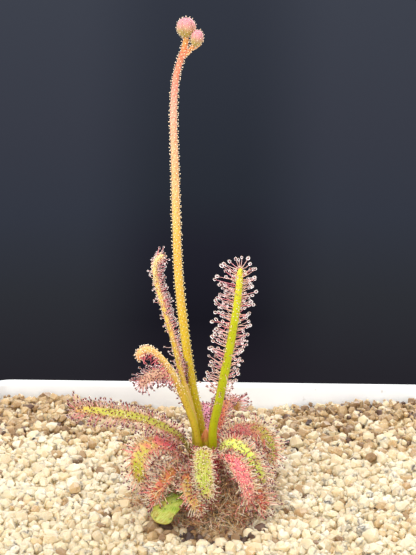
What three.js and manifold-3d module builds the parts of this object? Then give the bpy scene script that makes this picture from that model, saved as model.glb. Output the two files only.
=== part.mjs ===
// A sundew plant in a square white pot of quartz grit, in millimetres, +Z up.
//
// The pot stands on z = 0 with its middle on the origin. The plant grows a little behind that middle: one short
// crown stands in a plain hole in the grit, and round it grow the flower stalk and the leaves. Each leaf is a
// narrow arched blade that carries gland-tipped tentacles on its upper face and along both edges. Young leaves
// stand up, older ones arch over, and the oldest lie dead on the grit as a skirt.
//
// Every leaf is one node with its tentacles joined to it. Tentacles that would reach another node are turned or
// shortened until they pass clear of it, and left out where no way is free.

import * as THREE from "three";
import { mergeVertices } from "three/addons/utils/BufferGeometryUtils.js";
import Module from "manifold-3d";

const wasm = await Module();
wasm.setup();

// ---------------------------------------------------------------- driving dimensions

const GAP = 0.3; // between pieces that touch

const POT = {
  height: 60,
  floor: 3, // thickness under the grit
  footHalf: 59, // half the side of the square foot
  wallHalf: 66.8, // half the outer side just under the rim
  rimHalf: 70.2, // half the outer side of the rim band
  mouthHalf: 66.4, // half the side of the mouth
  innerFootHalf: 57,
  rimBand: 7.5, // height of the rim band
  edge: 1, // small bevels
  corner: 6, // radius of the upright corners
  rimCorner: 8, // and of the rim's corners
  insideCorner: 5,
  cornerSteps: 4,
};

const GRIT = {
  level: 53, // height of the surface round the plant
  cells: 20, // relief cells along one side
  bump: 0.75, // half the height of the relief
  sideHeap: 0.9, // how much higher the surface lies along both sides
  backHeap: 1.7, // and how much more in the back corners
  hollow: 0.9, // how much lower it lies round the plant
  hollowRadius: [12, 24], // where that hollow begins to rise and where it ends
};

const PLANT = { x: 0, y: 8 }; // where the crown stands in the pot

const CROWN = {
  // radius and height of the crown's outline, from the root tip to the growing bud
  outline: [
    [0, -13.4], [0.9, -12.8], [1.5, -9], [1.9, -1], [2.2, 3], [2.2, 10.5], [1.8, 13.5], [1.2, 16], [0.6, 17.6],
    [0, 18.4],
  ],
  sides: 10,
  holeRadius: 2.45,
  holeDepth: 14,
  holeSides: 12,
};

const STALK = {
  spine: [
    [-0.8, 2.4, 11.5], [-1.5, 3.1, 18], [-2.8, 3.5, 24.5], [-4.15, 4.1, 32.3], [-5.6, 3.8, 43.8],
    [-6.7, 3.6, 56.4], [-7.1, 3.4, 69.9], [-7.3, 3.2, 82.9], [-7.5, 3, 94.4], [-7.1, 2.8, 101],
    [-6.5, 2.6, 104.5], [-5.5, 2.4, 107.5], [-4.7, 2.1, 110.1], [-4.45, 2, 111.4],
  ],
  radius: [1.1, 1.05, 1, 0.95, 0.85, 0.75, 0.6], // evenly spaced from foot to tip
  sides: 8,
  steps: 24,
};

// The short side stalk that carries the small bud.
const BRANCH = {
  spine: [[-5.7, 2.45, 106.8], [-4.3, 1.8, 108.4], [-2.7, 0.9, 109.5]],
  radius: [0.5, 0.4, 0.35],
  sides: 6,
  steps: 5,
};

// Short hairs that climb the flower stalk on a golden-angle spiral.
const HAIR = { count: 34, turn: 2.39996, from: 0.12, to: 0.96, length: 0.55, radius: 0.2, sunk: 0.35 };

const BUDS = [
  { name: "bud_large", centre: [-4.4, 1.8, 113.9], axis: [0.06, 0, 1], radius: 2.1, height: 4.4 },
  { name: "bud_small", centre: [-1.95, 0.45, 111.6], axis: [0.25, -0.1, 1], radius: 1.4, height: 3.6 },
];

// A bud's outline, as [share of the radius, share of the height from the middle], and its ribs.
const BUD = {
  outline: [[0.22, -0.5], [0.68, -0.36], [0.98, -0.06], [0.94, 0.2], [0.62, 0.42], [0.2, 0.5]],
  ribs: 5,
  groove: 0.88, // radius between two ribs, as a share of the radius on a rib
};

const TENTACLE = {
  rootRadius: 0.2,
  neckRadius: 0.14,
  headRadius: 0.34,
  headLength: 0.8,
  slim: 2.6, // from this length on the stalk narrows to a neck under the head
  sunk: 0.22, // how far inside the blade the root starts
  clear: 0.32, // free space kept to any other node
  apart: 0.05, // free space kept to the same leaf's other tentacles
  splay: 1.35, // how far the edge ones turn outwards, in radians
  inset: 0.65, // where they root, as a share of the way from the midrib to the edge
  middle: 0.42, // length of those in the middle of a blade, as a share of the edge ones
  middleMost: 1.4, // and their greatest length
};

// The corners of a blade's section, as [share of its half width, share of its thickness]. The upper face is the
// wider one. A leaf on a fleshy stalk has a rounder section.
const BLADE = {
  thickness: [0.9, 0.9],
  section: [[1, 0.3], [-1, 0.3], [-0.6, -0.5], [0.6, -0.5]],
  fleshySection: [[1, 0.05], [0.55, 0.4], [-0.55, 0.4], [-1, 0.05], [-0.5, -0.5], [0.5, -0.5]],
};

// Where the round tip of a blade begins, as a share of its length, and the share of its width left at the end.
const TIP = { from: 0.93, end: 0.35 };

// Colours in the usual sRGB hex.
const COLOUR = {
  pot: 0xf4f4f1,
  grit: 0xd9c6a0,
  crown: 0x9a6a45,
  stalk: 0xd9a24a,
  bud: 0xd98f92,
  broad: 0x8cc63a,
  young: 0xd9a441,
  fresh: 0xa9b52c,
  green: 0x8fae2a,
  lime: 0xa8bd45,
  blush: 0xc9666c,
  coral: 0xd8626a,
  orange: 0xc8703f,
  dead: 0x7a4f3c,
};

// Leaves, from the centre outwards. Each has
//   spine: its midrib from the crown to the tip, measured from where the crown leaves the grit,
//   upper: the way its tentacle face looks at the foot,
//   width: at the foot, a third along, two thirds along and at the tip,
//   fleshy: its thickness at even steps from the foot to the tip, where it has a fleshy stalk,
//   bare: the share of its length that has no tentacles,
//   rows and reach: its rows of tentacles, and the length of those at the edges,
//   splay: how far those turn outwards from the upper face, where it isn't the usual angle,
//   steps: the number of rings in its blade, less one.
const LEAVES = [
  {
    name: "leaf_tall_right", colour: "fresh", upper: [-0.5, 1, 0.1], width: [2.1, 2.3, 2.1, 1.6], bare: 0.3,
    fleshy: [1.8, 1.2, 0.9, 0.9], rows: 16, reach: 3.9, steps: 12,
    spine: [[1.8, -2, 12], [1.8, -2.8, 19.9], [2.8, -3.6, 24.9], [4.2, -4.9, 32.6], [5.7, -6.7, 41.2],
      [6.9, -8.6, 49.1], [7.7, -10, 55.9], [8.1, -11, 62]],
  },
  {
    name: "leaf_tall_left", colour: "young", upper: [0.75, 0.65, 0.15], width: [2.1, 1.8, 1.6, 1.3], bare: 0.34,
    fleshy: [1.8, 1.4, 1, 0.9], rows: 14, reach: 2.3, steps: 16, splay: 1.2,
    spine: [[-2.5, 0.4, 11.8], [-2.7, 0.2, 19.3], [-3.8, 0.9, 24.2], [-5.9, 2.8, 31.2], [-8.1, 6, 38.7],
      [-10.5, 8.5, 45.9], [-12.4, 10, 52.4], [-12.9, 10, 56.2], [-12.1, 9.2, 58.9], [-10.6, 8.2, 60.2]],
  },
  {
    name: "leaf_crozier", colour: "young", upper: [-1, 0, -0.3], width: [2.4, 2.2, 1.9, 1.6], bare: 0.62,
    fleshy: [2, 1.8, 1.5, 1.4], rows: 5, reach: 1.3, steps: 20, splay: 0.9,
    spine: [[-1.4, -2.3, 12], [-2.8, -3.6, 20.9], [-4.4, -4.5, 26.2], [-6.3, -5.8, 31.5], [-8.4, -7, 36.4],
      [-10.7, -8.5, 40.2], [-12.8, -9.6, 42], [-14.4, -10.2, 41.9], [-15.1, -10, 40.7], [-14.5, -9.6, 39.7]],
  },
  {
    name: "leaf_reaching_left", colour: "green", upper: [0, -0.45, 1], width: [1.9, 2, 2.4, 1.8], bare: 0.2,
    fleshy: [1.6, 1, 0.9, 0.9], rows: 14, reach: 3.8, steps: 10,
    spine: [[-2.4, -1, 9], [-4.9, -3, 15.8], [-7.3, -5, 19.4], [-11.9, -6.8, 22.8], [-17.2, -8.2, 25],
      [-23.6, -9.5, 26.5], [-30.4, -10.6, 27.6]],
  },
  {
    name: "leaf_front", colour: "lime", upper: [0, -0.2, 1], width: [1.9, 3.4, 4.2, 3.4], bare: 0.14,
    rows: 10, reach: 2.6, steps: 9,
    spine: [[0.5, -2.5, 9.6], [0.1, -5.9, 15], [-0.2, -9.8, 16.6], [-0.2, -13.2, 15.4], [0.2, -15.6, 12],
      [0.5, -15.9, 7.2]],
  },
  {
    name: "leaf_low_left", colour: "blush", upper: [1, 0, 0.1], width: [1.8, 3, 4, 3.2], bare: 0.2,
    rows: 10, reach: 2.9, steps: 10,
    spine: [[-2.45, -0.6, 5.6], [-6, -3.8, 13.3], [-9, -6.4, 17.3], [-12.7, -9.2, 18.3], [-15.1, -11.3, 16.6],
      [-15.5, -12.1, 13], [-14.2, -11.4, 9.2]],
  },
  {
    name: "leaf_front_right", colour: "coral", upper: [0, 0, 1], width: [1.8, 3.8, 5, 3.6], bare: 0.25,
    rows: 9, reach: 2.6, steps: 9,
    spine: [[1.7, -2, 6.8], [3, -4.6, 12.8], [5.2, -7.6, 14.7], [7.6, -10.8, 14.1], [9.4, -13.2, 11.8],
      [10.6, -14.1, 8.6], [11.2, -13.6, 5.2]],
  },
  {
    name: "leaf_low_right", colour: "lime", upper: [-0.95, -0.25, 0.1], width: [1.8, 2.8, 3.2, 2.6], bare: 0.2,
    rows: 8, reach: 2.8, steps: 9,
    spine: [[2.6, -0.2, 9], [4.2, -1.7, 14.6], [6.9, -3.5, 16.1], [9.5, -5.2, 15], [11.6, -6.5, 12.6],
      [13.1, -7.2, 9.8], [13.8, -7, 7.1]],
  },
  {
    name: "leaf_far_right", colour: "blush", upper: [0, -1, 0.3], width: [1.8, 3, 3.8, 3], bare: 0.25,
    rows: 9, reach: 2.9, steps: 10,
    spine: [[2.6, 0.6, 6.4], [4.9, 3.1, 13.6], [7.6, 4.6, 15.8], [10.9, 5.8, 15.7], [14, 6.8, 14.3],
      [15.9, 7.2, 11.6], [16.4, 6.8, 8.8], [15.8, 6, 6.1]],
  },
  {
    name: "leaf_back_left", colour: "blush", upper: [-0.5, 0.3, 1], width: [1.8, 2.1, 2.6, 2.2], bare: 0.3,
    rows: 9, reach: 2.4, steps: 10,
    spine: [[-1.5, 2.2, 7], [-1.8, 6.5, 13.6], [-4.2, 10, 21.3], [-7.2, 13.5, 24.9], [-11.2, 17, 26.3],
      [-15.3, 19, 24.7], [-18.4, 20, 21.8]],
  },
  {
    name: "leaf_back_right", colour: "blush", upper: [0, 0, 1], width: [1.8, 2.2, 2.6, 2], bare: 0.2,
    rows: 8, reach: 3, steps: 9,
    spine: [[1.5, 2.2, 10.2], [2.9, 7, 15.8], [4.2, 12, 19], [5.6, 17, 19.6], [6.8, 21, 17.6],
      [7.6, 24, 13.4]],
  },
  {
    name: "leaf_back", colour: "blush", upper: [0, 0, 1], width: [1.8, 2.4, 3, 2.4], bare: 0.2,
    rows: 8, reach: 3, steps: 9,
    spine: [[0.3, 2.5, 7.6], [0.1, 7.5, 14.6], [-0.4, 14, 16.4], [-0.3, 20, 16.2], [-0.2, 25, 14],
      [-0.5, 29, 9.8]],
  },
  {
    name: "leaf_under_left", colour: "blush", upper: [0, 0, 1], width: [1.7, 2.8, 3.6, 2.8], bare: 0.3,
    rows: 7, reach: 2.8, steps: 8,
    spine: [[-1.8, -1.8, 4], [-5, -7, 10.7], [-7.2, -11, 12.4], [-9.3, -13.6, 11], [-11.2, -14.8, 8.4],
      [-12.2, -14.4, 5.8]],
  },
  {
    name: "leaf_front_left", colour: "orange", upper: [0, 0, 1], width: [1.6, 2, 2.6, 2], bare: 0.35,
    rows: 6, reach: 2.2, steps: 8,
    spine: [[-0.8, -2.4, 5.4], [-2.6, -8, 11.5], [-3.9, -12, 12.1], [-4, -15, 10.8], [-2.6, -17, 8.2],
      [-0.3, -18, 5.5]],
  },
  {
    name: "leaf_under_right", colour: "orange", upper: [0, 0, 1], width: [1.6, 2.8, 3.6, 2.8], bare: 0.3,
    rows: 6, reach: 2.4, steps: 8,
    spine: [[2.2, -1.4, 3.8], [5.6, -4.9, 8.6], [9, -7.9, 9.6], [12, -10.4, 8.4], [13.6, -12, 5.6],
      [14.2, -12.6, 2.9]],
  },
];

// Older leaves on the far side, which all arch over alike. Bearings run anticlockwise from +X, in degrees.
const FAR_SKIRT = {
  kind: "leaf_far", colour: "blush", bearings: [34, 70, 108, 156], footHeight: 4,
  width: [1.3, 2.4, 3.2, 2.6], bare: 0.3, rows: 4, reach: 2.6, steps: 6,
  // distance from the crown's axis, and height above the foot
  arch: [[2.4, 0], [5.5, 4], [9, 6], [12.5, 5.6], [15.2, 3.2], [16.6, 0.2]],
};

// Dead leaves, which arch low over the grit all round.
const DEAD_SKIRT = {
  kind: "leaf_dead", colour: "dead", bearings: [-158, -95, -57, -19, 17, 54, 96, 140], footHeight: 1.5,
  width: [1.2, 3, 4.2, 3.2], bare: 0.3, rows: 2, reach: 2, steps: 6,
  arch: [[2.3, 0], [6, 3.2], [9.5, 4], [13, 2.8], [15.6, 0.8], [16.8, -0.5]],
};

// The one broad bright leaf at the foot, without tentacles.
const BROAD_LEAF = {
  name: "leaf_broad", colour: "broad", upper: [0, 0, 1], width: [1, 2.6, 6.2, 5.4], steps: 8,
  spine: [[-1.5, -2.05, 2], [-4.9, -10, 6.9], [-6.7, -14.5, 7.1], [-8.8, -18, 5.6], [-10.8, -20, 3.8]],
};

// ---------------------------------------------------------------- small tools

// Repeatable random numbers from 0 to 1.
function seeded(seed) {
  let state = seed >>> 0;
  return () => {
    state = (state + 0x6d2b79f5) >>> 0;
    let t = Math.imul(state ^ (state >>> 15), 1 | state);
    t = (t + Math.imul(t ^ (t >>> 7), 61 | t)) ^ t;
    return ((t ^ (t >>> 14)) >>> 0) / 4294967296;
  };
}

const vector = ([x, y, z]) => new THREE.Vector3(x, y, z);

const curveThrough = (points) => new THREE.CatmullRomCurve3(points.map(vector), false, "centripetal");

// A value read off an evenly spaced list at a share of its length, with straight lines between entries.
function along(list, share) {
  const place = THREE.MathUtils.clamp(share, 0, 1) * (list.length - 1);
  const low = Math.min(Math.floor(place), list.length - 2);
  return THREE.MathUtils.lerp(list[low], list[low + 1], place - low);
}

// A closed skin over rings of equally many points. The first ring gets a flat cap, and so does the last one,
// unless it is a single point.
function skin(rings) {
  const count = rings[0].length;
  const position = rings.flat().flatMap((p) => [p.x, p.y, p.z]);
  const last = (rings.length - 1) * count;
  const pointed = rings.at(-1).length === 1;
  const index = [];
  for (let ring = 0; ring < last; ring += count) {
    for (let i = 0; i < count; i++) {
      const a = ring + i;
      const b = ring + ((i + 1) % count);
      if (pointed && ring + count === last) index.push(a, b, last);
      else index.push(a, b, b + count, a, b + count, a + count);
    }
  }
  for (let i = 1; i + 1 < count; i++) {
    index.push(0, i + 1, i);
    if (!pointed) index.push(last, last + i, last + i + 1);
  }
  const geometry = new THREE.BufferGeometry();
  geometry.setAttribute("position", new THREE.Float32BufferAttribute(position, 3));
  geometry.setIndex(index);
  return geometry;
}

// A closed geometry as a solid that can be joined and cut.
function solid(geometry) {
  const bare = geometry.clone();
  bare.deleteAttribute("normal");
  bare.deleteAttribute("uv");
  const merged = mergeVertices(bare, 1e-4);
  const triangles = new Uint32Array(merged.index.array);
  const make = () =>
    new wasm.Manifold(
      new wasm.Mesh({ numProp: 3, vertProperties: merged.attributes.position.array, triVerts: triangles }),
    );
  const made = make();
  if (made.volume() > 0) return made;
  for (let i = 0; i < triangles.length; i += 3) {
    [triangles[i + 1], triangles[i + 2]] = [triangles[i + 2], triangles[i + 1]];
  }
  return make();
}

// The largest body of a solid, as a geometry for a mesh.
function geometryOf(cut) {
  const [largest] = cut.decompose().sort((a, b) => b.volume() - a.volume());
  const { vertProperties, triVerts } = largest.getMesh();
  const geometry = new THREE.BufferGeometry();
  geometry.setAttribute("position", new THREE.BufferAttribute(new Float32Array(vertProperties), 3));
  geometry.setIndex(new THREE.BufferAttribute(new Uint32Array(triVerts), 1));
  return geometry;
}

function meshOf(name, shape, colour, roughness) {
  const material = new THREE.MeshStandardMaterial({ color: colour, roughness, flatShading: true });
  const mesh = new THREE.Mesh(geometryOf(shape), material);
  mesh.name = name;
  return mesh;
}

// Places along a midrib, each with its point, its direction, the way the upper face looks and the way across.
// The upper direction is carried from place to place without twisting.
function framesAlong(curve, steps, upper) {
  const up = vector(upper);
  return Array.from({ length: steps + 1 }, (_, i) => {
    const share = i / steps;
    const ahead = curve.getTangentAt(share);
    up.addScaledVector(ahead, -up.dot(ahead)).normalize();
    const across = new THREE.Vector3().crossVectors(ahead, up);
    return { share, point: curve.getPointAt(share), ahead, up: up.clone(), across };
  });
}

// ---------------------------------------------------------------- what is already taken

// Each entry is a straight stretch with a radius, and the node that it belongs to.
const taken = [];

function claim(owner, from, to, radius, tentacle = false) {
  taken.push({ owner, from: from.clone(), to: to.clone(), radius, tentacle });
}

// The shortest distance between two straight stretches.
function distanceBetween(a, b, c, d) {
  const u = new THREE.Vector3().subVectors(b, a);
  const v = new THREE.Vector3().subVectors(d, c);
  const w = new THREE.Vector3().subVectors(a, c);
  const uu = u.dot(u);
  const uv = u.dot(v);
  const vv = v.dot(v);
  const uw = u.dot(w);
  const vw = v.dot(w);
  const clamp = (x) => THREE.MathUtils.clamp(x, 0, 1);
  const skew = uu * vv - uv * uv;
  let s = skew > 1e-9 ? clamp((uv * vw - vv * uw) / skew) : 0;
  const t = clamp((uv * s + vw) / vv);
  s = clamp((uv * t - uw) / uu);
  return w.addScaledVector(u, s).addScaledVector(v, -t).length();
}

// True where a tentacle keeps clear of every other node, of its own leaf's other tentacles and of the grit.
function isFree(owner, from, to) {
  const radius = TENTACLE.headRadius;
  if (Math.min(from.z, to.z) < radius + GAP) return false;
  return taken.every((other) => {
    const own = other.owner === owner;
    if (own && !other.tentacle) return true;
    const room = own ? TENTACLE.apart : TENTACLE.clear;
    return distanceBetween(from, to, other.from, other.to) > radius + other.radius + room;
  });
}

// ---------------------------------------------------------------- the pot and its grit

// A square with rounded corners at one height.
function roundedSquare(half, radius, z) {
  const ring = [];
  for (let corner = 0; corner < 4; corner++) {
    for (let step = 0; step <= POT.cornerSteps; step++) {
      const angle = (corner + step / POT.cornerSteps) * (Math.PI / 2);
      const middle = (corner + 0.5) * (Math.PI / 2);
      const reach = (half - radius) * Math.SQRT2;
      ring.push(
        new THREE.Vector3(
          Math.cos(middle) * reach + Math.cos(angle) * radius,
          Math.sin(middle) * reach + Math.sin(angle) * radius,
          z,
        ),
      );
    }
  }
  return ring;
}

// Half the side of the pot's inside at a height.
function innerHalf(z) {
  return along([POT.innerFootHalf, POT.mouthHalf], (z - POT.floor) / (POT.height - POT.floor));
}

function makePot() {
  const { height, edge, corner } = POT;
  const band = height - POT.rimBand;
  const outline = [
    [POT.footHalf - edge, corner - edge, 0],
    [POT.footHalf, corner, edge],
    [POT.wallHalf, corner, band],
    [POT.rimHalf, POT.rimCorner, band],
    [POT.rimHalf, POT.rimCorner, height - edge],
    [POT.rimHalf - edge, POT.rimCorner - edge, height],
    [POT.mouthHalf, POT.insideCorner, height],
    [POT.innerFootHalf, POT.insideCorner - edge, POT.floor],
  ];
  const shell = skin(outline.map(([half, radius, z]) => roundedSquare(half, radius, z)));
  return meshOf("pot", solid(shell), COLOUR.pot, 0.35);
}

// The height of the grit's surface above its level: heaped at the back and the sides, hollow round the plant.
function gritRise(x, y) {
  const side = THREE.MathUtils.smoothstep(Math.abs(x), 22, 62);
  const back = THREE.MathUtils.smoothstep(y, 20, 62);
  const [inner, outer] = GRIT.hollowRadius;
  const near = 1 - THREE.MathUtils.smoothstep(Math.hypot(x - PLANT.x, y - PLANT.y), inner, outer);
  return side * (GRIT.sideHeap + GRIT.backHeap * back) - GRIT.hollow * near;
}

// A block with a rough upper face: each of its grid points is pushed sideways and up or down by chance.
function roughBlock(half, top) {
  const random = seeded(11);
  const { cells } = GRIT;
  const pitch = (2 * half) / cells;
  const block = new THREE.BoxGeometry(2 * half, 2 * half, top, cells, cells, 1);
  block.translate(0, 0, top / 2);
  const place = block.attributes.position;
  const pushes = new Map(); // the same push for every face that shares a grid point
  for (let i = 0; i < place.count; i++) {
    const [x, y, z] = [place.getX(i), place.getY(i), place.getZ(i)];
    if (z < top / 2) continue;
    const key = `${Math.round(x / pitch)},${Math.round(y / pitch)}`;
    if (!pushes.has(key)) pushes.set(key, [random() - 0.5, random() - 0.5, random() - 0.5]);
    const [dx, dy, dz] = pushes.get(key);
    const slide = Math.max(Math.abs(x), Math.abs(y)) < half - pitch / 2 ? pitch / 2 : 0;
    const [newX, newY] = [x + dx * slide, y + dy * slide];
    place.setXYZ(i, newX, newY, GRIT.level + gritRise(newX, newY) + 2 * dz * GRIT.bump);
  }
  return block;
}

function makeGrit() {
  const above = GRIT.level + 10; // well over the surface
  const block = roughBlock(POT.mouthHalf + 4, above);
  const cavity = skin(
    [POT.floor + GAP, above].map((z) => roundedSquare(innerHalf(z) - GAP, POT.insideCorner - POT.edge, z)),
  );
  const depth = CROWN.holeDepth + 10;
  const hole = new THREE.CylinderGeometry(CROWN.holeRadius, CROWN.holeRadius, depth, CROWN.holeSides);
  hole.rotateX(Math.PI / 2);
  hole.translate(PLANT.x, PLANT.y, above - depth / 2);
  const filled = solid(block).intersect(solid(cavity)).subtract(solid(hole));
  return meshOf("grit", filled, COLOUR.grit, 0.8);
}

// ---------------------------------------------------------------- crown, stalk and buds

// The crown, or the same shape grown outwards all round.
function crownShape(grown) {
  const [foot, ...rest] = CROWN.outline;
  const middle = rest.slice(0, -1).map(([r, z]) => [r + grown, z]);
  const tip = rest.at(-1);
  const outline = [[0, foot[1] - grown], ...middle, [0, tip[1] + grown]];
  const lathe = new THREE.LatheGeometry(outline.map(([r, z]) => new THREE.Vector2(r, z)), CROWN.sides);
  lathe.rotateX(Math.PI / 2);
  return solid(lathe);
}

// A round stem along a spine.
function stemAlong({ spine, radius, sides, steps }) {
  const rings = framesAlong(curveThrough(spine), steps, [1, 0, 0]).map(({ share, point, up, across }) =>
    Array.from({ length: sides }, (_, i) => {
      const angle = (2 * Math.PI * i) / sides;
      return point
        .clone()
        .addScaledVector(up, Math.cos(angle) * along(radius, share))
        .addScaledVector(across, Math.sin(angle) * along(radius, share));
    }),
  );
  return solid(skin(rings));
}

// Needles with three sides that stand out of the flower stalk.
function stalkHairs() {
  const curve = curveThrough(STALK.spine);
  const random = seeded(23);
  return Array.from({ length: HAIR.count }, (_, i) => {
    const share = THREE.MathUtils.lerp(HAIR.from, HAIR.to, (i + 0.6 * random()) / HAIR.count);
    const ahead = curve.getTangentAt(share);
    const side = new THREE.Vector3(Math.cos(i * HAIR.turn), Math.sin(i * HAIR.turn), 0);
    side.addScaledVector(ahead, -side.dot(ahead)).normalize();
    const root = curve.getPointAt(share).addScaledVector(side, along(STALK.radius, share) - HAIR.sunk);
    const whole = HAIR.length + HAIR.sunk;
    const needle = new THREE.ConeGeometry(HAIR.radius, whole, 3).translate(0, whole / 2, 0);
    needle.applyQuaternion(new THREE.Quaternion().setFromUnitVectors(new THREE.Vector3(0, 1, 0), side));
    return solid(needle.translate(root.x, root.y, root.z));
  });
}

function claimStalk() {
  const frames = framesAlong(curveThrough(STALK.spine), STALK.steps, [1, 0, 0]);
  for (let i = 1; i < frames.length; i++) {
    claim("flower_stalk", frames[i - 1].point, frames[i].point, STALK.radius[0] + HAIR.length / 2);
  }
}

// A closed flower bud: five sepals meet in ribs, so the ring of points is alternately wide and narrow.
function makeBud({ name, centre, axis, radius, height }) {
  const rings = BUD.outline.map(([r, h]) =>
    Array.from({ length: 2 * BUD.ribs }, (_, i) => {
      const angle = (Math.PI * i) / BUD.ribs;
      const reach = radius * r * (i % 2 ? BUD.groove : 1);
      return new THREE.Vector3(Math.cos(angle) * reach, Math.sin(angle) * reach, h * height);
    }),
  );
  const upright = new THREE.Vector3(0, 0, 1);
  const bud = skin(rings);
  bud.applyQuaternion(new THREE.Quaternion().setFromUnitVectors(upright, vector(axis).normalize()));
  bud.translate(...centre);
  return meshOf(name, solid(bud), COLOUR.bud, 0.55);
}

// ---------------------------------------------------------------- leaves

// A gland-tipped tentacle with three sides: a thin stalk, a swollen head and a point.
function tentacleShape(root, way, length) {
  const side = new THREE.Vector3(way.y, way.z, way.x).cross(way).normalize();
  const other = new THREE.Vector3().crossVectors(way, side);
  const level = (radius, height) =>
    [0, 1, 2].map((i) => {
      const angle = (2 * Math.PI * i) / 3;
      return root
        .clone()
        .addScaledVector(way, height)
        .addScaledVector(side, Math.cos(angle) * radius)
        .addScaledVector(other, Math.sin(angle) * radius);
    });
  const rings = [
    level(TENTACLE.rootRadius, -TENTACLE.sunk),
    level(TENTACLE.neckRadius, length - TENTACLE.headLength),
    level(TENTACLE.headRadius, length - TENTACLE.headLength * 0.35),
    [root.clone().addScaledVector(way, length)],
  ];
  if (length < TENTACLE.slim) rings.splice(1, 1);
  return solid(skin(rings));
}

// The ways a tentacle may take: its own first, then leaning along the leaf or turning up or down, then shorter.
const LEANS = [[0, 0], [0.35, 0], [-0.35, 0], [0, 0.4], [0, -0.4], [0.6, 0.3], [-0.6, 0.3]];
const SHORTER = [1, 0.78, 0.58];

function waysFrom(way, frame, length) {
  return SHORTER.flatMap((share) =>
    LEANS.map(([lean, turn]) => ({
      bent: way.clone().addScaledVector(frame.ahead, lean).addScaledVector(frame.up, turn).normalize(),
      reach: length * share,
    })),
  );
}

// Half the width of a leaf at a share of its length, closing to a round tip.
function halfWidth(width, share) {
  const past = Math.max(0, (share - TIP.from) / (1 - TIP.from));
  const round = Math.sqrt(Math.max(0, 1 - past ** 2));
  return (along(width, share) / 2) * (TIP.end + (1 - TIP.end) * round);
}

// The bare blade: rings of corners along the midrib, closing to a round tip.
function bladeShape(leaf) {
  return solid(
    skin(
      leaf.frames.map(({ share, point, up, across }) => {
        const half = halfWidth(leaf.width, share);
        const thickness = along(leaf.fleshy ?? BLADE.thickness, share);
        return (leaf.fleshy ? BLADE.fleshySection : BLADE.section).map(([w, h]) =>
          point.clone().addScaledVector(across, w * half).addScaledVector(up, h * thickness),
        );
      }),
    ),
  );
}

function claimBlade(leaf) {
  leaf.frames = framesAlong(curveThrough(leaf.spine), leaf.steps, leaf.upper);
  for (let i = 1; i < leaf.frames.length; i++) {
    const radius = 0.8 * halfWidth(leaf.width, leaf.frames[i - 1].share);
    claim(leaf.name, leaf.frames[i - 1].point, leaf.frames[i].point, radius);
  }
}

// One tentacle in the first way that is free, or none. place runs from -1 at one edge of the blade to 1 at the
// other.
function growTentacle(leaf, frame, place, length, lean) {
  const open = place * (leaf.splay ?? TENTACLE.splay);
  const way = frame.up
    .clone()
    .multiplyScalar(Math.cos(open))
    .addScaledVector(frame.across, Math.sin(open))
    .addScaledVector(frame.ahead, lean)
    .normalize();
  const root = frame.point
    .clone()
    .addScaledVector(frame.across, place * halfWidth(leaf.width, frame.share) * TENTACLE.inset);
  for (const { bent, reach } of waysFrom(way, frame, length)) {
    const foot = root.clone().addScaledVector(bent, TENTACLE.headRadius);
    const tip = root.clone().addScaledVector(bent, reach);
    if (!isFree(leaf.name, foot, tip)) continue;
    claim(leaf.name, foot, tip, TENTACLE.headRadius, true);
    return [tentacleShape(root, bent, reach)];
  }
  return [];
}

// Tentacles in rows across the blade: a long one at each edge, and a short middle one in every other row.
function tentaclesOf(leaf) {
  const random = seeded(leaf.name.length * 31 + leaf.rows);
  const fine = framesAlong(curveThrough(leaf.spine), 4 * leaf.rows, leaf.upper);
  const made = [];
  for (let row = 0; row <= leaf.rows; row++) {
    const share = THREE.MathUtils.lerp(leaf.bare, 1, 0.02 + (0.96 * row) / leaf.rows);
    const frame = fine[Math.round(share * 4 * leaf.rows)];
    const grown = 0.75 + 0.25 * Math.min(1, row / 3); // the first rows are shorter
    const ahead = frame.share > TIP.from ? 0.9 : 0.1; // those at the tip point forwards
    for (const edge of [-1, 1]) {
      const length = leaf.reach * grown * (0.85 + 0.3 * random());
      made.push(...growTentacle(leaf, frame, edge, length, ahead + (random() - 0.5) / 2));
    }
    if (row % 2) {
      const length = Math.min(leaf.reach * TENTACLE.middle, TENTACLE.middleMost);
      made.push(...growTentacle(leaf, frame, 0.7 * (random() - 0.5), length, ahead));
    }
  }
  return made;
}

// Leaves that follow one arch at several bearings, each swaying a little to one side.
function archedLeaves(skirt) {
  const random = seeded(skirt.bearings.length);
  return skirt.bearings.map((bearing, i) => {
    const sway = 0.2 * (random() - 0.5);
    const spine = skirt.arch.map(([reach, rise], k) => {
      const turned = THREE.MathUtils.degToRad(bearing) + (sway * k) / skirt.arch.length;
      return [Math.cos(turned) * reach, Math.sin(turned) * reach, skirt.footHeight + rise];
    });
    return { ...skirt, name: `${skirt.kind}_${i + 1}`, upper: [0, 0, 1], spine };
  });
}

// A leaf's solid, cut back at its foot to leave room for the crown.
function leafMesh(leaf, tentacles) {
  const whole = wasm.Manifold.union([bladeShape(leaf), ...tentacles]);
  return meshOf(leaf.name, whole.subtract(crownRoom), COLOUR[leaf.colour], 0.5);
}

// ---------------------------------------------------------------- the plant and the pot together

const crownRoom = crownShape(GAP);
const leaves = [...LEAVES, ...archedLeaves(FAR_SKIRT), ...archedLeaves(DEAD_SKIRT)];

claimStalk();
[...leaves, BROAD_LEAF].forEach(claimBlade);

const plant = new THREE.Group();
plant.position.set(PLANT.x, PLANT.y, GRIT.level);
plant.add(meshOf("crown", crownShape(0), COLOUR.crown, 0.7));
leaves.forEach((leaf) => plant.add(leafMesh(leaf, tentaclesOf(leaf))));
plant.add(leafMesh(BROAD_LEAF, []));

const stalk = wasm.Manifold.union([stemAlong(STALK), stemAlong(BRANCH), ...stalkHairs()]);
plant.add(meshOf("flower_stalk", stalk.subtract(crownRoom), COLOUR.stalk, 0.55));
BUDS.forEach((bud) => plant.add(makeBud(bud)));

const sundew = new THREE.Group();
sundew.add(makePot(), makeGrit(), plant);

export default sundew;
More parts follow.
